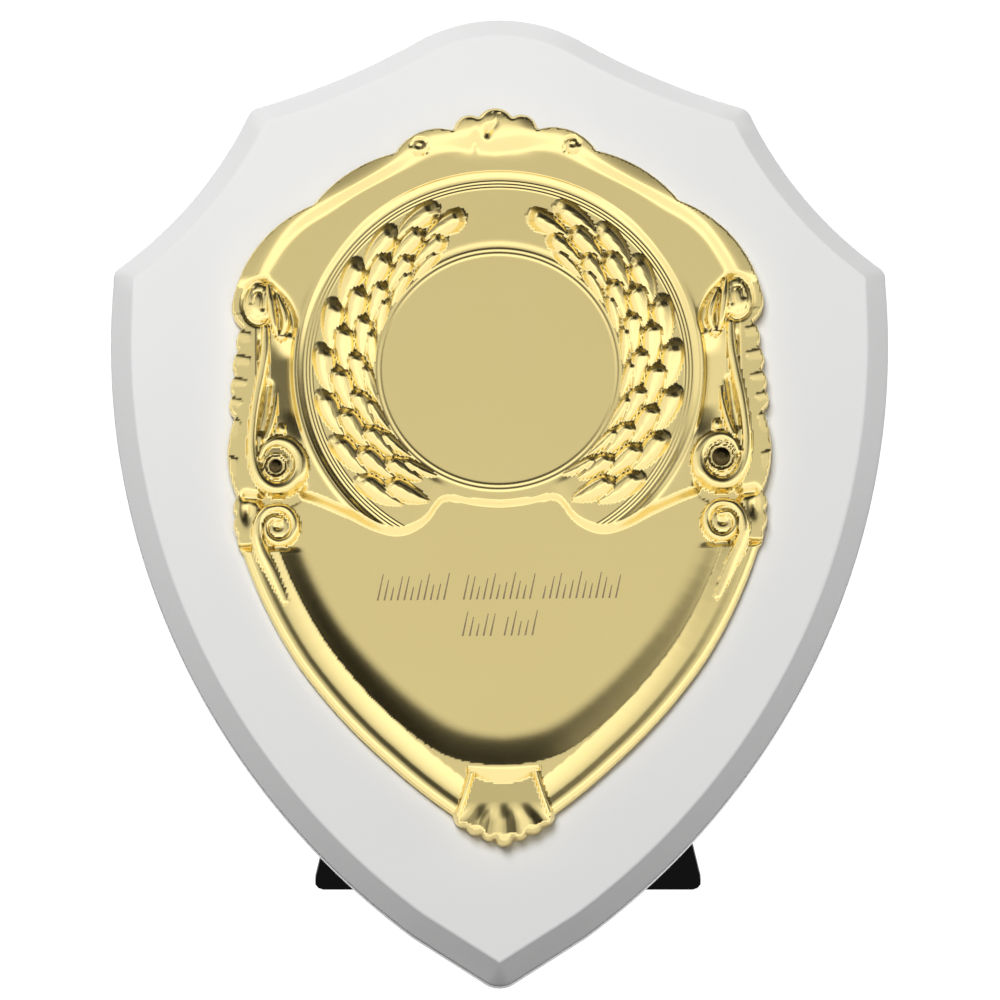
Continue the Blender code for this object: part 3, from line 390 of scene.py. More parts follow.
def press_groove(height, x, y, knots, width, depth):
    """Press a soft groove along a path of x and y into the surface."""
    patch = near(x, y, knots, 3 * width)
    gap = distance_to(x[patch], y[patch], smooth_path(knots), False)[0]
    height[patch] -= depth * np.exp(-(gap / width) ** 2)


def raise_dome(height, x, y, centre, radii, crest, foot):
    """Lift an oval dome out of the surface."""
    reach = ((x - centre[0]) / radii[0]) ** 2 + ((y - centre[1]) / radii[1]) ** 2
    lifted = np.where(reach < 1, foot + (crest - foot) * np.clip(1 - reach, 0, 1) ** ROUNDNESS, 0.0)
    np.maximum(height, lifted, out=height)


def press_pit(height, x, y, centre, radii, depth):
    """Press a soft oval pit into the surface."""
    reach = ((x - centre[0]) / radii[0]) ** 2 + ((y - centre[1]) / radii[1]) ** 2
    height -= depth * np.exp(-reach)


def leaf_rows(side, y):
    """Laurel leaves in arcs round the medallion, pointed tips towards the top."""
    radius = np.hypot(side, y)
    angle = np.degrees(np.arctan2(side, y))
    height = np.zeros_like(side)
    for row_radius, first, half_width, lift in WREATH_ROWS:
        tip = first
        while tip + LEAF_REACH < WREATH_END + 4:
            share = np.clip((angle - tip) / LEAF_REACH, 1e-4, 1 - 1e-4)
            width = half_width * np.sin(np.pi * share ** 0.62) ** 0.65
            drift = radius - row_radius + LEAF_SWING * (share - 0.5)
            across = np.clip(np.abs(drift) / np.maximum(width, 1e-3), 0, 1)
            crest = lift * ease(share / 0.3) * (1.4 - 1.25 * share)
            leaf = crest * (1 - across ** 2.4) + 0.08 * np.exp(-(drift / 0.3) ** 2)
            on = (angle > tip) & (angle < tip + LEAF_REACH) & (across < 1)
            height = np.maximum(height, np.where(on, leaf, 0.0))
            tip += WREATH_PITCH
    return height


def soft_minimum(first, second, softness):
    """The lower of two heights, rounded where they cross."""
    return (first + second - np.sqrt((first - second) ** 2 + softness ** 2)) / 2


def medallion_height(radius, angle):
    """Disc with its beaded rim, the wreath's ground, the fine beads and the hollow ring round them."""
    rise = ease((radius - RAMP_START) / RAMP_WIDTH) * ease((158.0 - angle) / 8.0)
    disc = DISC_LEVEL + (GROUND_LEVEL - DISC_LEVEL) * rise
    for bead in DISC_BEADS:
        disc += DISC_BEAD_HEIGHT * np.exp(-((radius - bead) / DISC_BEAD_WIDTH) ** 2)
    beads = BEAD_HEIGHT / 2 * (1 - np.cos(2 * np.pi * (radius - GROUND_OUTER) / BEAD_PITCH))
    disc = np.where((radius > GROUND_OUTER) & (radius < BEADS_OUTER), disc + beads, disc)
    ring_end = 43.4 - 1.9 * ease((angle - 12.0) / 45.0)
    climb = ease((radius - BEADS_OUTER) / (ring_end - BEADS_OUTER))
    ring = GROUND_LEVEL + (BAND_LEVEL - GROUND_LEVEL) * climb
    lip = BAND_LEVEL + 0.25 * ease((angle - 62.0) / 20.0) * np.exp(-((radius - 42.0) / 0.6) ** 2)
    height = np.where(radius < BEADS_OUTER, disc, np.where(radius < ring_end, ring, BAND_LEVEL))
    lipped = np.maximum(height, lip * ease((radius - 41.0) / 0.9))
    return np.where(radius > BEADS_OUTER, lipped, height)


def rolled_rim(height, side, y):
    """Add the upper rim: it swells from the band to its crest, and falls away towards the edge."""
    foot_line = [tuple(p) for p in smooth_path(RIM_FOOT)]
    crest_line = [tuple(p) for p in smooth_path(RIM_CREST)]
    frame_end = [(70.0, 12.0), (70.0, 70.0), (0.0, 70.0)]
    foot_gap = distance_to(side, y, foot_line, False)[0]
    crest_gap = distance_to(side, y, crest_line, False)[0]
    beyond_foot = inside(side, y, foot_line + frame_end)
    beyond_crest = inside(side, y, crest_line + frame_end)
    climb = ease(foot_gap / np.maximum(foot_gap + crest_gap, 1e-6))
    swell = BAND_LEVEL + (RIM_LEVEL - BAND_LEVEL) * climb
    fall = RIM_LEVEL - 0.1 * np.hypot(crest_gap, 0.8) + 0.08
    rim = np.where(beyond_crest, fall, np.maximum(swell, height))
    return np.where(beyond_foot, height + (rim - height) * ease((y - 15.0) / 5.0), height)


def lobed_flank(height, side, y):
    """Add the sides' outer band: lobes that each rise to their upper end, with a valley inside."""
    flank = ease((side - 47.5) / 1.2) * ease((14.5 - y) / 3.0) * ease((y + 39.0) / 2.0)
    lobes = np.full_like(y, FLANK_LEVEL)
    for low, high in zip(FLANK_NOTCHES[1:], FLANK_NOTCHES):
        share = np.clip((y - 0.2 * (side - 53.5) - low) / (high - low), 0, 1)
        within = (share > 0) & (share < 1)
        lift = 0.4 * share * ease((1 - share) * (high - low) / 1.5)
        lobes = np.where(within, FLANK_LEVEL - 0.15 + lift * ease((side - 49.8) / 1.5), lobes)
    height = height * (1 - flank) + lobes * flank
    press_groove(height, side, y, FLANK_VALLEY, 0.9, 0.4)
    return height


def border_height(y, depth):
    """Double border of the engraving field with the hollow inside it."""
    border = quarter_round(depth, BORDER_ROLL_WIDTH, EDGE_LEVEL, BORDER_ROLL)
    border = np.where(depth > BORDER_ROLL_WIDTH,
                      BORDER_ROLL - 0.36 * ease((depth - BORDER_ROLL_WIDTH) / 1.9), border)
    slope = (depth - BORDER_SLOPE_START) / (BORDER_WIDTH - BORDER_SLOPE_START)
    border += 0.66 * np.clip(slope, 0, 1) ** 1.5
    reach = soft_minimum(depth, y + COVE_FOOT, 5.0) + 0.2
    cove_width = COVE_WIDTH + 1.6 * ease((-45.0 - y) / 35.0)
    cove = np.clip((reach - BORDER_WIDTH + 0.1) / cove_width, 0, 1)
    cove = FIELD_LEVEL + (BORDER_CREST - FIELD_LEVEL) * (1 - cove) ** 2
    cove += 3.0 * np.clip(BORDER_WIDTH - 0.1 - reach, 0, 2)
    return soft_minimum(border, cove, 0.12)


def platform_share(x, y, side):
    """0 on the engraving field, 1 on the raised upper part, with a slope between them."""
    step_line = [(float(px), float(py)) for px, py in smooth_path(PLATFORM_EDGE)]
    platform = step_line + [(-px, py) for px, py in step_line[-2::-1]] + [(-70, 70), (70, 70)]
    signed = distance_to(x, y, platform, True)[0] * np.where(inside(x, y, platform), 1, -1)
    return ease(signed / (PLATFORM_SLOPE * (0.6 + 0.4 * ease((side - 13.0) / 8.0))) + 0.5)


def scrolls_and_straps(height, side, y):
    """Work the scrolls, straps and petals of the sides into the surface."""
    press_groove(height, side, y, PETAL_VALLEY, 0.8, 0.75)
    raise_dome(height, side, y, UPPER_SCROLL, (3.1, 4.4), 3.5, 3.0)
    press_groove(height, side, y, UPPER_SCROLL_GROOVE, 0.5, 0.55)
    raise_dome(height, side, y, UPPER_SCROLL, (2.4, 3.7), 3.9, 2.8)
    press_groove(height, side, y, UPPER_SCROLL_HOOK, 0.4, 0.4)
    for petal in PETALS:
        raise_ridge(height, side, y, petal, 2.4)
    raise_dome(height, side, y, (44.7, 7.1), (1.4, 1.1), 3.7, 2.2)
    raise_ridge(height, side, y, INNER_STRAP, 2.2)
    raise_dome(height, side, y, (44.6, -12.4), (1.1, 1.4), 3.5, 2.4)
    press_groove(height, side, y, STRAP_RECESS, 0.8, 0.7)
    raise_dome(height, side, y, VOLUTE, (6.0, 6.0), 3.4, 2.4)
    raise_ridge(height, side, y, STRAP, 2.9, STRAP_ROUNDNESS)
    raise_dome(height, side, y, LOWER_SCROLL, (3.8, 3.8), 3.3, 2.2)
    raise_ridge(height, side, y, LOWER_COIL, 2.7, STRAP_ROUNDNESS)
    press_groove(height, side, y, SCROLL_VALLEY, 0.9, 1.1)
    press_pit(height, side, y, (51.9, -29.4), (0.9, 2.2), 0.9)
    press_pit(height, side, y, LOWER_SCROLL, (0.8, 0.65), 0.7)


def nail_hollows(height, x, y):
    """Add a raised ring and a flat sunken floor round each nail."""
    for nail_x, nail_y, head_radius in NAILS:
        gap = np.hypot(x - nail_x, y - nail_y)
        height = np.maximum(height, NAIL_RING * ease((head_radius + 2.1 - gap) / 1.0))
        sunk = ease((head_radius + 1.0 - gap) / 0.5)
        height = height * (1 - sunk) + NAIL_FLOOR * sunk
    return height


def crest_and_top_scrolls(height, x, y, side):
    """Work the dents of the crest boss and the two small top scrolls into the surface."""
    press_pit(height, x, y, (-1.6, 49.6), (0.8, 1.1), 0.9)
    press_pit(height, x, y, (-4.2, 48.0), (0.7, 1.5), 0.7)
    press_groove(height, x, y, CREST_CREASE, 0.6, 0.4)
    raise_dome(height, side, y, TOP_SCROLL, (2.2, 2.0), RIM_LEVEL + 0.3, 3.2)
    press_groove(height, side, y, TOP_SCROLL_HOOK, 0.45, 0.45)
    press_pit(height, side, y, (TOP_SCROLL[0], TOP_SCROLL[1] - 0.1), (0.7, 0.6), 0.5)


def shell(height, x, y, side):
    """Add the shell at the foot: a lipped bar over a fan of flutes."""
    fan = 3.4 + 0.9 * np.clip((-85.0 - y) / 12.0, 0, 1)
    fan += 0.4 * np.cos(np.arctan2(x, -78.0 - y) * 20.0) * ease((-90.5 - y) / 4.0)
    fan_edge = 6.6 + (-84.0 - y) * 0.36
    on_fan = ease((fan_edge - side) / 0.8) * ease((-83.2 - y) / 0.5)
    height = height * (1 - on_fan) + fan * on_fan
    sag = 0.05 * side * side
    lip = 5.4 - 2.6 * np.clip((-83.6 - y) / (3.7 - sag), 0, 1) ** 1.6
    on_lip = (side < 7.4) & (y < -83.0) & (y > -87.3 + sag)
    height = np.where(on_lip, np.maximum(height, lip), height)
    raise_ridge(height, side, y, FAN_SIDE, 2.6)
    return height


def front_relief(x, y, edge):
    """Height of the stamped sheet's upper surface above the board's face."""
    side = np.abs(x)
    depth = distance_to(x, y, edge, True)[0]
    radius = np.hypot(x, y)
    angle = np.degrees(np.arctan2(side, y))

    # The raised upper part. Its side recess falls away from the strap towards the ring
    upper = medallion_height(radius, angle)
    recess = ease((radius - 42.1) / 0.9) * ease((y + 15.5) / 8.0) * ease((9.0 - y) / 7.0)
    upper -= recess * np.clip(0.36 * (46.8 + 0.1 * y - side), 0.0, 1.6)
    upper = rolled_rim(upper, side, y)
    upper += 1.1 * np.exp(-(x / 7.5) ** 4 - ((y - 51.0) / 4.6) ** 4)
    upper = upper + leaf_rows(side, y) * ease((GROUND_OUTER + 0.7 - radius) / 0.5)
    upper = lobed_flank(upper, side, y)

    # The engraving field beside it and the border below
    height = FIELD_LEVEL + (upper - FIELD_LEVEL) * platform_share(x, y, side)
    blend = ease((BORDER_TOP - y) / 1.6)
    height = height * (1 - blend) + border_height(y, depth) * blend
    height = np.maximum(height, FLANK_LEVEL * ease((side - 47.0) / 3.0) * (y > BORDER_TOP))

    scrolls_and_straps(height, side, y)
    height = nail_hollows(height, x, y)
    crest_and_top_scrolls(height, x, y, side)
    height = shell(height, x, y, side)

    # The sheet's own rolled edge limits everything
    rolled = quarter_round(depth, ROLLED_REACH, EDGE_LEVEL, ROLLED_LEVEL)
    height = np.where(depth < ROLLED_REACH, np.minimum(height, rolled), height)
    return np.maximum(height, EDGE_LEVEL)


# Modelling steps

def deselect_everything():
    if bpy.context.object and bpy.context.object.mode != "OBJECT":
        bpy.ops.object.mode_set(mode="OBJECT")
    bpy.ops.object.select_all(action="DESELECT")


def make_active(item):
    deselect_everything()
    item.select_set(True)
    bpy.context.view_layer.objects.active = item


def outline_face(name, points):
    """A flat face on a closed outline: a filled circle whose rim is moved on to it."""
    deselect_everything()
    bpy.ops.mesh.primitive_circle_add(vertices=len(points), radius=1.0, fill_type="NGON")
    item = bpy.context.object
    item.name = name
    flat = np.zeros((len(points), 3))
    flat[:, :2] = np.array(points) * MM
    item.data.vertices.foreach_set("co", flat.ravel())
    item.data.update()
    return item


def extrude_up(item, height):
    make_active(item)
    bpy.ops.object.mode_set(mode="EDIT")
    bpy.ops.mesh.select_all(action="SELECT")
    bpy.ops.mesh.extrude_region_move(TRANSFORM_OT_translate={"value": (0, 0, height)})
    bpy.ops.mesh.select_all(action="SELECT")
    bpy.ops.mesh.normals_make_consistent(inside=False)
    bpy.ops.object.mode_set(mode="OBJECT")


def select_parts(item, kind, chosen):
    """Go into edit mode with just the chosen vertices ("VERT") or edges ("EDGE") selected."""
    make_active(item)
    bpy.ops.object.mode_set(mode="EDIT")
    bpy.ops.mesh.select_mode(type=kind)
    bpy.ops.mesh.select_all(action="DESELECT")
    shape = bmesh.from_edit_mesh(item.data)
    for part in shape.verts if kind == "VERT" else shape.edges:
        part.select_set(chosen(part))
    shape.select_flush_mode()
    bmesh.update_edit_mesh(item.data)


def apply_modifier(item, kind, **settings):
    make_active(item)
    modifier = item.modifiers.new(kind.title(), kind)
    for name, value in settings.items():
        setattr(modifier, name, value)
    bpy.ops.object.modifier_apply(modifier=modifier.name)


def level_shading(item):
    """Keep faces that lie flat at the top and bottom shaded flat, whatever adjoins them."""
    mesh = item.data
    shading = np.array([corner.vector for corner in mesh.corner_normals])
    for face in mesh.polygons:
        if abs(face.normal.z) > 0.999:
            first = face.loop_start
            shading[first:first + face.loop_total] = (0, 0, math.copysign(1.0, face.normal.z))
    mesh.normals_split_custom_set(shading.tolist())


def finish_piece(item, place, body, node, material):
    """Put a piece in its place with its material, and say what it rides on and replaces."""
    item.data.transform(place)
    item.data.update()
    item.data.materials.clear()
    item.data.materials.append(material)
    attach(item, body)
    if node:
        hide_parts(node)
    return item


def board_outline():
    """The board's outline from the top centre clockwise: arcs, and one straight run to the tip."""
    half = []
    for step in range(CROWN_STEPS + 1):
        angle = math.radians(CROWN_SWEEP) * step / CROWN_STEPS
        half.append((CROWN_RADIUS * math.sin(angle),
                     BOARD_HEIGHT - CROWN_RADIUS * (1 - math.cos(angle))))
    neck = half[-1]
    reach = math.dist(neck, SHOULDER)
    neck_hollow = NECK_RADIUS - math.sqrt(NECK_RADIUS ** 2 - reach ** 2 / 4)
    half += arc_points(neck, SHOULDER, -neck_hollow, BOARD_FLATNESS)
    half += arc_points(SHOULDER, HIP, -FLANK_SAGITTA, BOARD_FLATNESS)
    first = math.asin((HIP[1] - SIDE_CENTRE[1]) / SIDE_RADIUS)
    last = -math.acos(-SIDE_CENTRE[0] / SIDE_RADIUS)
    for step in range(1, SIDE_STEPS + 1):
        angle = first + (last - first) * step / SIDE_STEPS
        x = SIDE_CENTRE[0] + SIDE_RADIUS * math.cos(angle)
        y = SIDE_CENTRE[1] + SIDE_RADIUS * math.sin(angle)
        # One long side meets the tip, so that the chamfer there has room
        if y > TIP_SIDE or step == SIDE_STEPS:
            half.append((max(x, 0.0), y))
    return mirrored_loop([(float(x), float(y)) for x, y in half])


def round_corner(board, corner, round_off):
    """Round the upright edges at a corner, but keep the chamfer's inner corner sharp."""
    top = BOARD_THICKNESS * MM - TOUCH

    def at_corner(edge):
        low = min(edge.verts, key=lambda v: v.co.z)
        rises = abs(edge.verts[0].co.z - edge.verts[1].co.z) > MM
        return (rises and abs(abs(low.co.x) - corner[0] * MM) < CORNER_REACH * MM
                and abs(low.co.y - corner[1] * MM) < CORNER_REACH * MM)

    select_parts(board, "EDGE", at_corner)
    shape = bmesh.from_edit_mesh(board.data)
    peaks = [v.co.copy() for v in shape.verts if v.select and v.co.z > top]
    bpy.ops.mesh.bevel(offset=round_off * MM, segments=CORNER_SEGMENTS, affect="EDGES",
                       clamp_overlap=False)
    shape = bmesh.from_edit_mesh(board.data)
    for vert in shape.verts:
        for peak in peaks:
            if vert.co.z > top and (vert.co - peak).length < PEAK_REACH * round_off * MM:
                vert.co = peak
    bpy.ops.mesh.select_all(action="SELECT")
    bpy.ops.mesh.remove_doubles(threshold=BOARD_WELD * MM)


def make_board(material):
    board = outline_face("white_board", board_outline())
    extrude_up(board, BOARD_THICKNESS * MM)
    top = BOARD_THICKNESS * MM - TOUCH
    select_parts(board, "EDGE", lambda edge: all(v.co.z > top for v in edge.verts))
    bpy.ops.mesh.bevel(offset=CHAMFER * MM, segments=1, affect="EDGES", clamp_overlap=False)
    for corner, round_off in ((SHOULDER, CORNER_ROUND), (HIP, CORNER_ROUND), (BOARD_TIP, TIP_ROUND)):
        round_corner(board, corner, round_off)
    bpy.ops.object.mode_set(mode="OBJECT")
    make_active(board)
    bpy.ops.object.shade_smooth()
    apply_modifier(board, "BEVEL", width=EDGE_SOFTNESS * MM, segments=3, limit_method="ANGLE",
                   angle_limit=SOFTENED_ANGLE, use_clamp_overlap=False)
    apply_modifier(board, "WEIGHTED_NORMAL", weight=100, mode="FACE_AREA")
    level_shading(board)
    return finish_piece(board, BOARD_FRAME, "plaque", "shield_board", material)


def relief_heights(mesh):
    """Lay a flat mesh on the front's relief, and return the relief's true normals."""
    places = np.empty(len(mesh.vertices) * 3)
    mesh.vertices.foreach_get("co", places)
    places = places.reshape(-1, 3)
    edge = front_outline()
    across, along = places[:, 0] / MM, places[:, 1] / MM
    places[:, 2] = front_relief(across, along, edge) * MM
    mesh.vertices.foreach_set("co", places.ravel())
    mesh.update()
    step = NORMAL_STEP
    rise_x = front_relief(across + step, along, edge) - front_relief(across - step, along, edge)
    rise_y = front_relief(across, along + step, edge) - front_relief(across, along - step, edge)
    normals = np.stack([-rise_x / (2 * step), -rise_y / (2 * step), np.ones(len(places))], axis=1)
    normals /= np.linalg.norm(normals, axis=1, keepdims=True)
    normals[distance_to(across, along, edge, True)[0] < RIM_MARGIN] = 0.0
    return normals


def polar_disc(name, radii, spokes):
    """A flat disc of rings: a grid whose one side runs round and whose other side runs outwards."""
    deselect_everything()
    bpy.ops.mesh.primitive_grid_add(x_subdivisions=spokes, y_subdivisions=len(radii) - 1, size=2.0)
    disc = bpy.context.object
    disc.name = name
    places = np.empty(len(disc.data.vertices) * 3)
    disc.data.vertices.foreach_get("co", places)
    places = places.reshape(-1, 3)
    turn = (places[:, 0] + 1) * math.pi
    ring = np.array(radii)[np.rint((1 - places[:, 1]) / 2 * (len(radii) - 1)).astype(int)]
    places[:, 0] = ring * MM * np.sin(turn)
    places[:, 1] = ring * MM * np.cos(turn)
    disc.data.vertices.foreach_set("co", places.ravel())
    disc.data.update()
    make_active(disc)
    bpy.ops.object.mode_set(mode="EDIT")
    bpy.ops.mesh.select_all(action="SELECT")
    bpy.ops.mesh.remove_doubles(threshold=RING_WELD * MM)
    bpy.ops.object.mode_set(mode="OBJECT")
    inner = (radii[-1] + RING_WELD) * MM
    select_parts(disc, "EDGE", lambda side: side.is_boundary and side.verts[0].co.length < inner)
    bpy.ops.mesh.edge_face_add()
    bpy.ops.object.mode_set(mode="OBJECT")
    return disc


def front_cutter():
    """A thin slab on the front's outline, with the medallion left out of it."""
    cutter = outline_face("front_cutter", front_outline())
    extrude_up(cutter, 2 * MM)
    cutter.data.transform(Matrix.Translation((0, 0, -MM)))
    deselect_everything()
    bpy.ops.mesh.primitive_cylinder_add(vertices=MEDALLION_SPOKES, radius=MEDALLION_REACH * MM,
                                        depth=2 * MM, rotation=(0, 0, math.pi / 2))
    core = bpy.context.object
    core.name = "medallion_cutter"
    core.scale.z = 3
    bpy.ops.object.transform_apply(location=False, rotation=False, scale=True)
    apply_modifier(cutter, "BOOLEAN", object=core, operation="DIFFERENCE", solver="EXACT")
    bpy.data.objects.remove(core, do_unlink=True)
    return cutter


def flat_front():
    """The front's mesh while it is still flat: a fine grid round the rings of the medallion."""
    cutter = front_cutter()
    deselect_everything()
    width, height = FRONT_GRID
    bpy.ops.mesh.primitive_grid_add(x_subdivisions=round(width / FRONT_SPACING),
                                    y_subdivisions=round(height / FRONT_SPACING), size=1.0)
    front = bpy.context.object
    front.name = "gilt_front"
    front.data.transform(Matrix.Translation((0, FRONT_GRID_MIDDLE * MM, 0))
                         @ Matrix.Diagonal((width * MM, height * MM, 1, 1)))
    apply_modifier(front, "BOOLEAN", object=cutter, operation="INTERSECT", solver="EXACT")
    bpy.data.objects.remove(cutter, do_unlink=True)
    # What the cutter leaves off the flat grid goes
    select_parts(front, "VERT", lambda vert: abs(vert.co.z) > 0.01 * MM)
    bpy.ops.mesh.delete(type="VERT")
    bpy.ops.object.mode_set(mode="OBJECT")
    radii = [radius for first, last, count in MEDALLION_RINGS
             for radius in np.linspace(first, last, count)]
    medallion = polar_disc("medallion", radii, MEDALLION_SPOKES)
    make_active(front)
    medallion.select_set(True)
    bpy.ops.object.join()
    bpy.ops.object.mode_set(mode="EDIT")
    bpy.ops.mesh.select_all(action="SELECT")
    bpy.ops.mesh.remove_doubles(threshold=SEAM_WELD * MM)
    bpy.ops.mesh.normals_make_consistent(inside=False)
    bpy.ops.object.mode_set(mode="OBJECT")
    if sum(face.normal.z for face in front.data.polygons) < 0:
        front.data.flip_normals()
    return front


def close_rim(front):
    """Draw the sheet's rim down to its edge, and close it underneath."""
    places = np.array([vert.co[:2] for vert in front.data.vertices]) / MM
    at_rim = distance_to(places[:, 0], places[:, 1], front_outline(), True)[0] < RIM_NEARNESS

    def on_rim(side):
        return side.is_boundary and at_rim[side.verts[0].index] and at_rim[side.verts[1].index]

    select_parts(front, "EDGE", on_rim)
    bpy.ops.mesh.extrude_region_move(TRANSFORM_OT_translate={"value": (0, 0, -SHEET * MM)})
    bpy.ops.mesh.edge_face_add()
    bpy.ops.object.mode_set(mode="OBJECT")


def shade_upper_side(mesh, normals):
    """Shade the upper side with the relief's normals, given for the first of the vertices."""
    corners = np.empty(len(mesh.loops), dtype=int)
    mesh.loops.foreach_get("vertex_index", corners)
    facing = np.empty(len(mesh.polygons) * 3)
    mesh.polygons.foreach_get("normal", facing)
    sizes = np.empty(len(mesh.polygons), dtype=int)
    mesh.polygons.foreach_get("loop_total", sizes)
    upward = np.repeat(facing.reshape(-1, 3)[:, 2] > 0.05, sizes)
    padded = np.vstack([normals, np.zeros((len(mesh.vertices) - len(normals), 3))])
    shading = np.where(upward[:, None], padded[corners], 0.0)
    mesh.normals_split_custom_set(shading.tolist())


def make_front(material):
    front = flat_front()
    normals = relief_heights(front.data)
    close_rim(front)
    make_active(front)
    bpy.ops.object.shade_smooth_by_angle(angle=SMOOTH_ANGLE)
    shade_upper_side(front.data, normals)
    return finish_piece(front, FRONT_FRAME, "plaque", "shield_front", material)


def make_stroke(x, foot, reach):
    """A slanted stroke that narrows towards its head, still flat."""
    deselect_everything()
    bpy.ops.mesh.primitive_plane_add(size=1.0)
    stroke = bpy.context.object
    head_x, head = x + STROKE_LEAN * reach, foot + reach
    places = [(x - STROKE_FOOT, foot), (x + STROKE_FOOT, foot),
              (head_x - STROKE_HEAD, head), (head_x + STROKE_HEAD, head)]
    for vert, (px, py) in zip(stroke.data.vertices, places):
        vert.co = (px * MM, py * MM, (FIELD_LEVEL + STROKE_LIFT) * MM)
    return stroke


def engraved_strokes(material):
    """Rows of parallel slanted strokes of several heights, in groups with a space between."""
    pieces = []
    for left, right, foot, height, count, blank in ENGRAVED_ROWS:
        for index in range(count):
            if index in blank:
                continue
            sway = math.sin(STROKE_RHYTHM * index + STROKE_PHASE)
            reach = height * (1 - STROKE_VARIATION + STROKE_VARIATION * sway)
            x = left + (right - left) * index / (count - 1)
            pieces.append(make_stroke(x, foot, reach))
    deselect_everything()
    for stroke in pieces:
        stroke.select_set(True)
    bpy.context.view_layer.objects.active = pieces[0]
    bpy.ops.object.join()
    strokes = bpy.context.object
    strokes.name = "engraved_strokes"
    extrude_up(strokes, STROKE_DEPTH * MM)
    return finish_piece(strokes, FRONT_FRAME, "plaque", None, material)


# Materials

def new_material(name):
    material = bpy.data.materials.new(name)
    material.use_nodes = True
    nodes = material.node_tree.nodes
    return material, nodes, material.node_tree.links, nodes["Principled BSDF"]


def noise(nodes, links, scale, detail=2):
    """Noise over the object, in patches that get smaller as the scale grows."""
    place = nodes.new("ShaderNodeTexCoord")
    pattern = nodes.new("ShaderNodeTexNoise")
    pattern.inputs["Scale"].default_value = scale
    pattern.inputs["Detail"].default_value = detail
    links.new(place.outputs["Object"], pattern.inputs["Vector"])
    return pattern.outputs["Fac"]


def mix_colour(nodes, links, share, dark, light, socket):
    tint = nodes.new("ShaderNodeMix")
    tint.data_type = "RGBA"
    tint.inputs["A"].default_value = (*dark, 1)
    tint.inputs["B"].default_value = (*light, 1)
    links.new(share, tint.inputs["Factor"])
    links.new(tint.outputs["Result"], socket)


def mix_level(nodes, links, share, low, high, socket):
    levels = nodes.new("ShaderNodeMapRange")
    levels.inputs["To Min"].default_value = low
    levels.inputs["To Max"].default_value = high
    links.new(share, levels.inputs["Value"])
    links.new(levels.outputs["Result"], socket)


def white_lacquer():
    material, nodes, links, shader = new_material("white_lacquer")
    shader.inputs["Base Color"].default_value = (0.84, 0.84, 0.835, 1)
    shader.inputs["Roughness"].default_value = 0.12
    shader.inputs["Specular IOR Level"].default_value = 0.22
    bump = nodes.new("ShaderNodeBump")
    bump.inputs["Strength"].default_value = 0.02
    bump.inputs["Distance"].default_value = 0.0002
    links.new(noise(nodes, links, 140), bump.inputs["Height"])
    links.new(bump.outputs["Normal"], shader.inputs["Normal"])
    return material


def gilt():
    material, nodes, links, shader = new_material("gilt")
    shader.inputs["Metallic"].default_value = 1.0
    mix_colour(nodes, links, noise(nodes, links, 35, 3), (0.93, 0.755, 0.325), (0.955, 0.79, 0.36),
               shader.inputs["Base Color"])
    mix_level(nodes, links, noise(nodes, links, 2600), 0.19, 0.27, shader.inputs["Roughness"])
    return material


def engraved_line():
    material, nodes, links, shader = new_material("engraved_line")
    shader.inputs["Metallic"].default_value = 0.6
    shader.inputs["Roughness"].default_value = 0.6
    mix_colour(nodes, links, noise(nodes, links, 1500), (0.22, 0.16, 0.1), (0.42, 0.33, 0.2),
               shader.inputs["Base Color"])
    return material


def black_enamel():
    material, nodes, links, shader = new_material("black_enamel")
    shader.inputs["Base Color"].default_value = (0.004, 0.004, 0.0045, 1)
    shader.inputs["Specular IOR Level"].default_value = 0.06
    mix_level(nodes, links, noise(nodes, links, 900), 0.4, 0.6, shader.inputs["Roughness"])
    return material


def plain_metal(name, dark, light, roughness):
    """Metal between a dark and a light tone in fine grain, rougher where it is dark."""
    material, nodes, links, shader = new_material(name)
    shader.inputs["Metallic"].default_value = 1.0
    grain = noise(nodes, links, 1800, 3)
    mix_colour(nodes, links, grain, dark, light, shader.inputs["Base Color"])
    mix_level(nodes, links, grain, roughness * 1.3, roughness * 0.7, shader.inputs["Roughness"])
    return material


# Studio

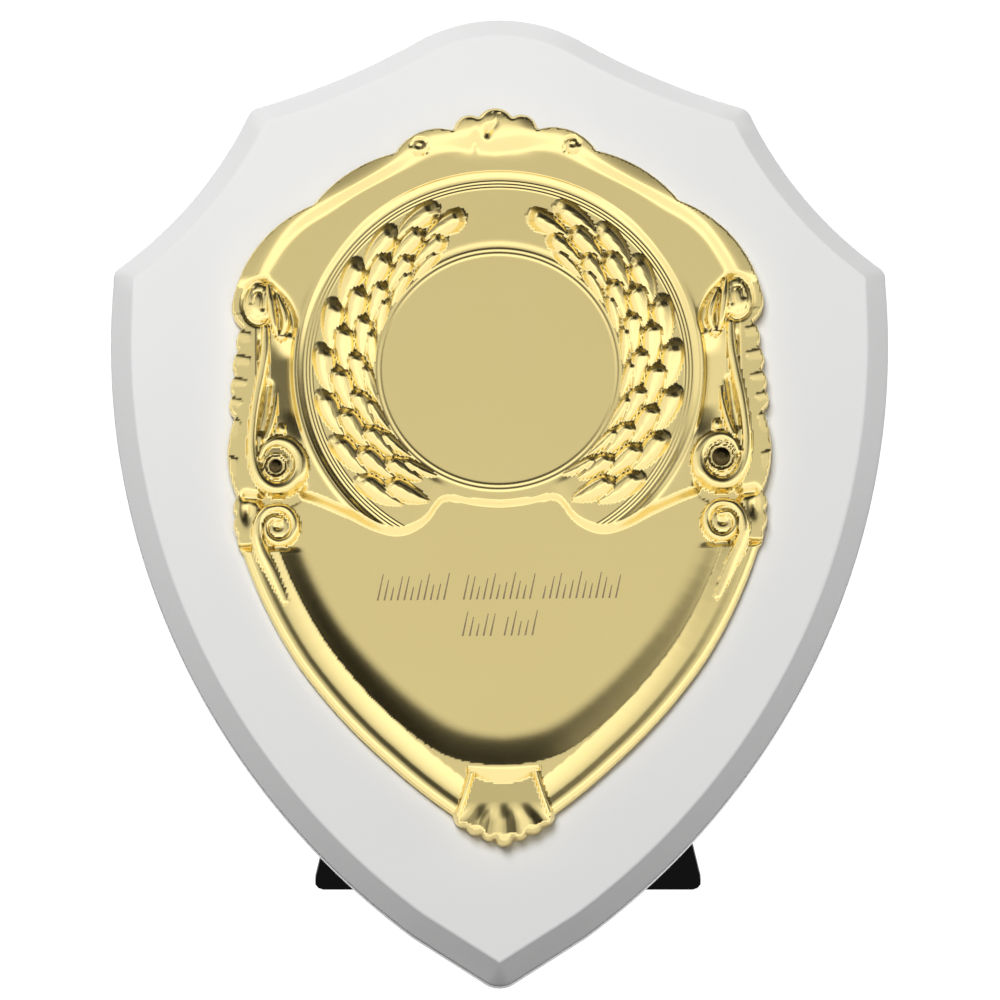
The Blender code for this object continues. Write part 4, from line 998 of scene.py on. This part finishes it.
def studio_world():
    """Radiance by direction: bright low walls, a dimmer front, dark above it, a pale wall behind."""
    world = bpy.data.worlds.new("studio")
    bpy.context.scene.world = world
    world.use_nodes = True
    nodes, links = world.node_tree.nodes, world.node_tree.links
    background = nodes["Background"]
    place = nodes.new("ShaderNodeTexCoord")
    parts = nodes.new("ShaderNodeSeparateXYZ")
    links.new(place.outputs["Generated"], parts.inputs["Vector"])
    across, along, up = (parts.outputs[name] for name in "XYZ")

    def maths(operation, first, second=None):
        node = nodes.new("ShaderNodeMath")
        node.operation = operation
        for socket, value in zip(node.inputs, (first, second)):
            if value is None:
                continue
            if isinstance(value, (int, float)):
                socket.default_value = value
            else:
                links.new(value, socket)
        return node.outputs[0]

    def step_up(value, start, end, low=0.0, high=1.0):
        """A smooth step from low at start to high at end."""
        node = nodes.new("ShaderNodeMapRange")
        node.interpolation_type = "SMOOTHSTEP"
        node.inputs["From Min"].default_value = start
        node.inputs["From Max"].default_value = end
        node.inputs["To Min"].default_value = low
        node.inputs["To Max"].default_value = high
        links.new(value, node.inputs["Value"])
        return node.outputs["Result"]

    def curve(value, stops):
        """Smooth steps from each stop's level to the next one's."""
        total = stops[0][1]
        for (start, low), (end, high) in zip(stops, stops[1:]):
            total = maths("ADD", step_up(value, start, end, 0.0, high - low), total)
        return total

    def blend(share, first, second):
        return maths("ADD", maths("MULTIPLY", maths("SUBTRACT", 1.0, share), first),
                     maths("MULTIPLY", share, second))

    level = maths("ADD", maths("MULTIPLY", along, along), 0.0004)
    level = maths("ADD", level, maths("MULTIPLY", maths("MULTIPLY", across, across), 0.4))
    steepness = maths("DIVIDE", up, maths("SQRT", level))
    front = curve(steepness, FRONT_WALL)
    behind = curve(steepness, BACK_WALL)
    light = blend(maths("GREATER_THAN", along, 0.0), front, behind)
    leftward = maths("MULTIPLY", across, -1.0)
    left = maths("MULTIPLY", step_up(leftward, 0.45, 0.75),
                 step_up(maths("MULTIPLY", up, -1.0), -0.7, -0.35))
    light = blend(left, light, LEFT_WALL)
    light = maths("ADD", light, step_up(leftward, 0.12, 0.5, 0.0, LEFT_GLOW))
    right = maths("MULTIPLY", step_up(across, 0.2, 0.5), step_up(up, 0.25, 0.45))
    light = maths("MULTIPLY", light, maths("SUBTRACT", 1.0, maths("MULTIPLY", right, RIGHT_SHADE)))
    background.inputs["Color"].default_value = (1, 1, 1, 1)
    links.new(light, background.inputs["Strength"])
    world.cycles_visibility.diffuse = False


def studio_floor():
    deselect_everything()
    bpy.ops.mesh.primitive_plane_add(size=FLOOR_SIZE, location=(0, 0, 0))
    floor = bpy.context.object
    floor.name = "studio_floor"
    material = bpy.data.materials.new("studio_floor")
    material.use_nodes = True
    nodes, links = material.node_tree.nodes, material.node_tree.links
    nodes.remove(nodes["Principled BSDF"])
    glow = nodes.new("ShaderNodeEmission")
    glow.inputs["Strength"].default_value = FLOOR_GLOW
    links.new(glow.outputs["Emission"], nodes["Material Output"].inputs["Surface"])
    floor.data.materials.append(material)
    floor.visible_diffuse = False


def softbox(name, place, side, power):
    """A square area light that mirrors don't show."""
    data = bpy.data.lights.new(name, "AREA")
    data.shape = "RECTANGLE"
    data.size = data.size_y = side
    data.energy = power
    lamp = bpy.data.objects.new(name, data)
    bpy.context.scene.collection.objects.link(lamp)
    lamp.location = place
    lamp.rotation_euler = (Vector(LIGHT_TARGET) - Vector(place)).to_track_quat("-Z", "Y").to_euler()
    lamp.visible_glossy = False


def studio_camera():
    data = bpy.data.cameras.new("camera")
    data.sensor_width = SENSOR_WIDTH
    data.lens = SENSOR_WIDTH * CAMERA_DISTANCE / SHOWN_WIDTH
    data.clip_start, data.clip_end = 0.05, 100.0
    camera = bpy.data.objects.new("camera", data)
    bpy.context.scene.collection.objects.link(camera)
    towards = Vector((0, -math.cos(CAMERA_ELEVATION), math.sin(CAMERA_ELEVATION)))
    camera.location = CAMERA_AIM + CAMERA_DISTANCE * towards
    camera.rotation_euler = (math.pi / 2 - CAMERA_ELEVATION, 0, 0)
    bpy.context.scene.camera = camera


bpy.context.scene.view_settings.view_transform = "Standard"
studio_camera()
studio_world()
studio_floor()
for light in LIGHTS:
    softbox(*light)

make_board(white_lacquer())
make_front(gilt())
engraved_strokes(engraved_line())
enamel = black_enamel()
steel = plain_metal("dark_steel", (0.04, 0.04, 0.042), (0.09, 0.09, 0.094), 0.3)
# Nail heads: brass darkened almost to black, painted shade of the hollows round the nails
shaded_nail_brass = plain_metal("nail_brass", (0.05, 0.036, 0.014), (0.12, 0.088, 0.036), 0.2)
for node, material in (("strut_hinge_plate", enamel), ("strut_leg", enamel), ("hinge_pin", steel),
                       ("hinge_screw_left", steel), ("hinge_screw_right", steel),
                       ("front_nail_left", shaded_nail_brass), ("front_nail_right", shaded_nail_brass)):
    solid = frame["nodes"][node]
    solid.data.materials.clear()
    solid.data.materials.append(material)
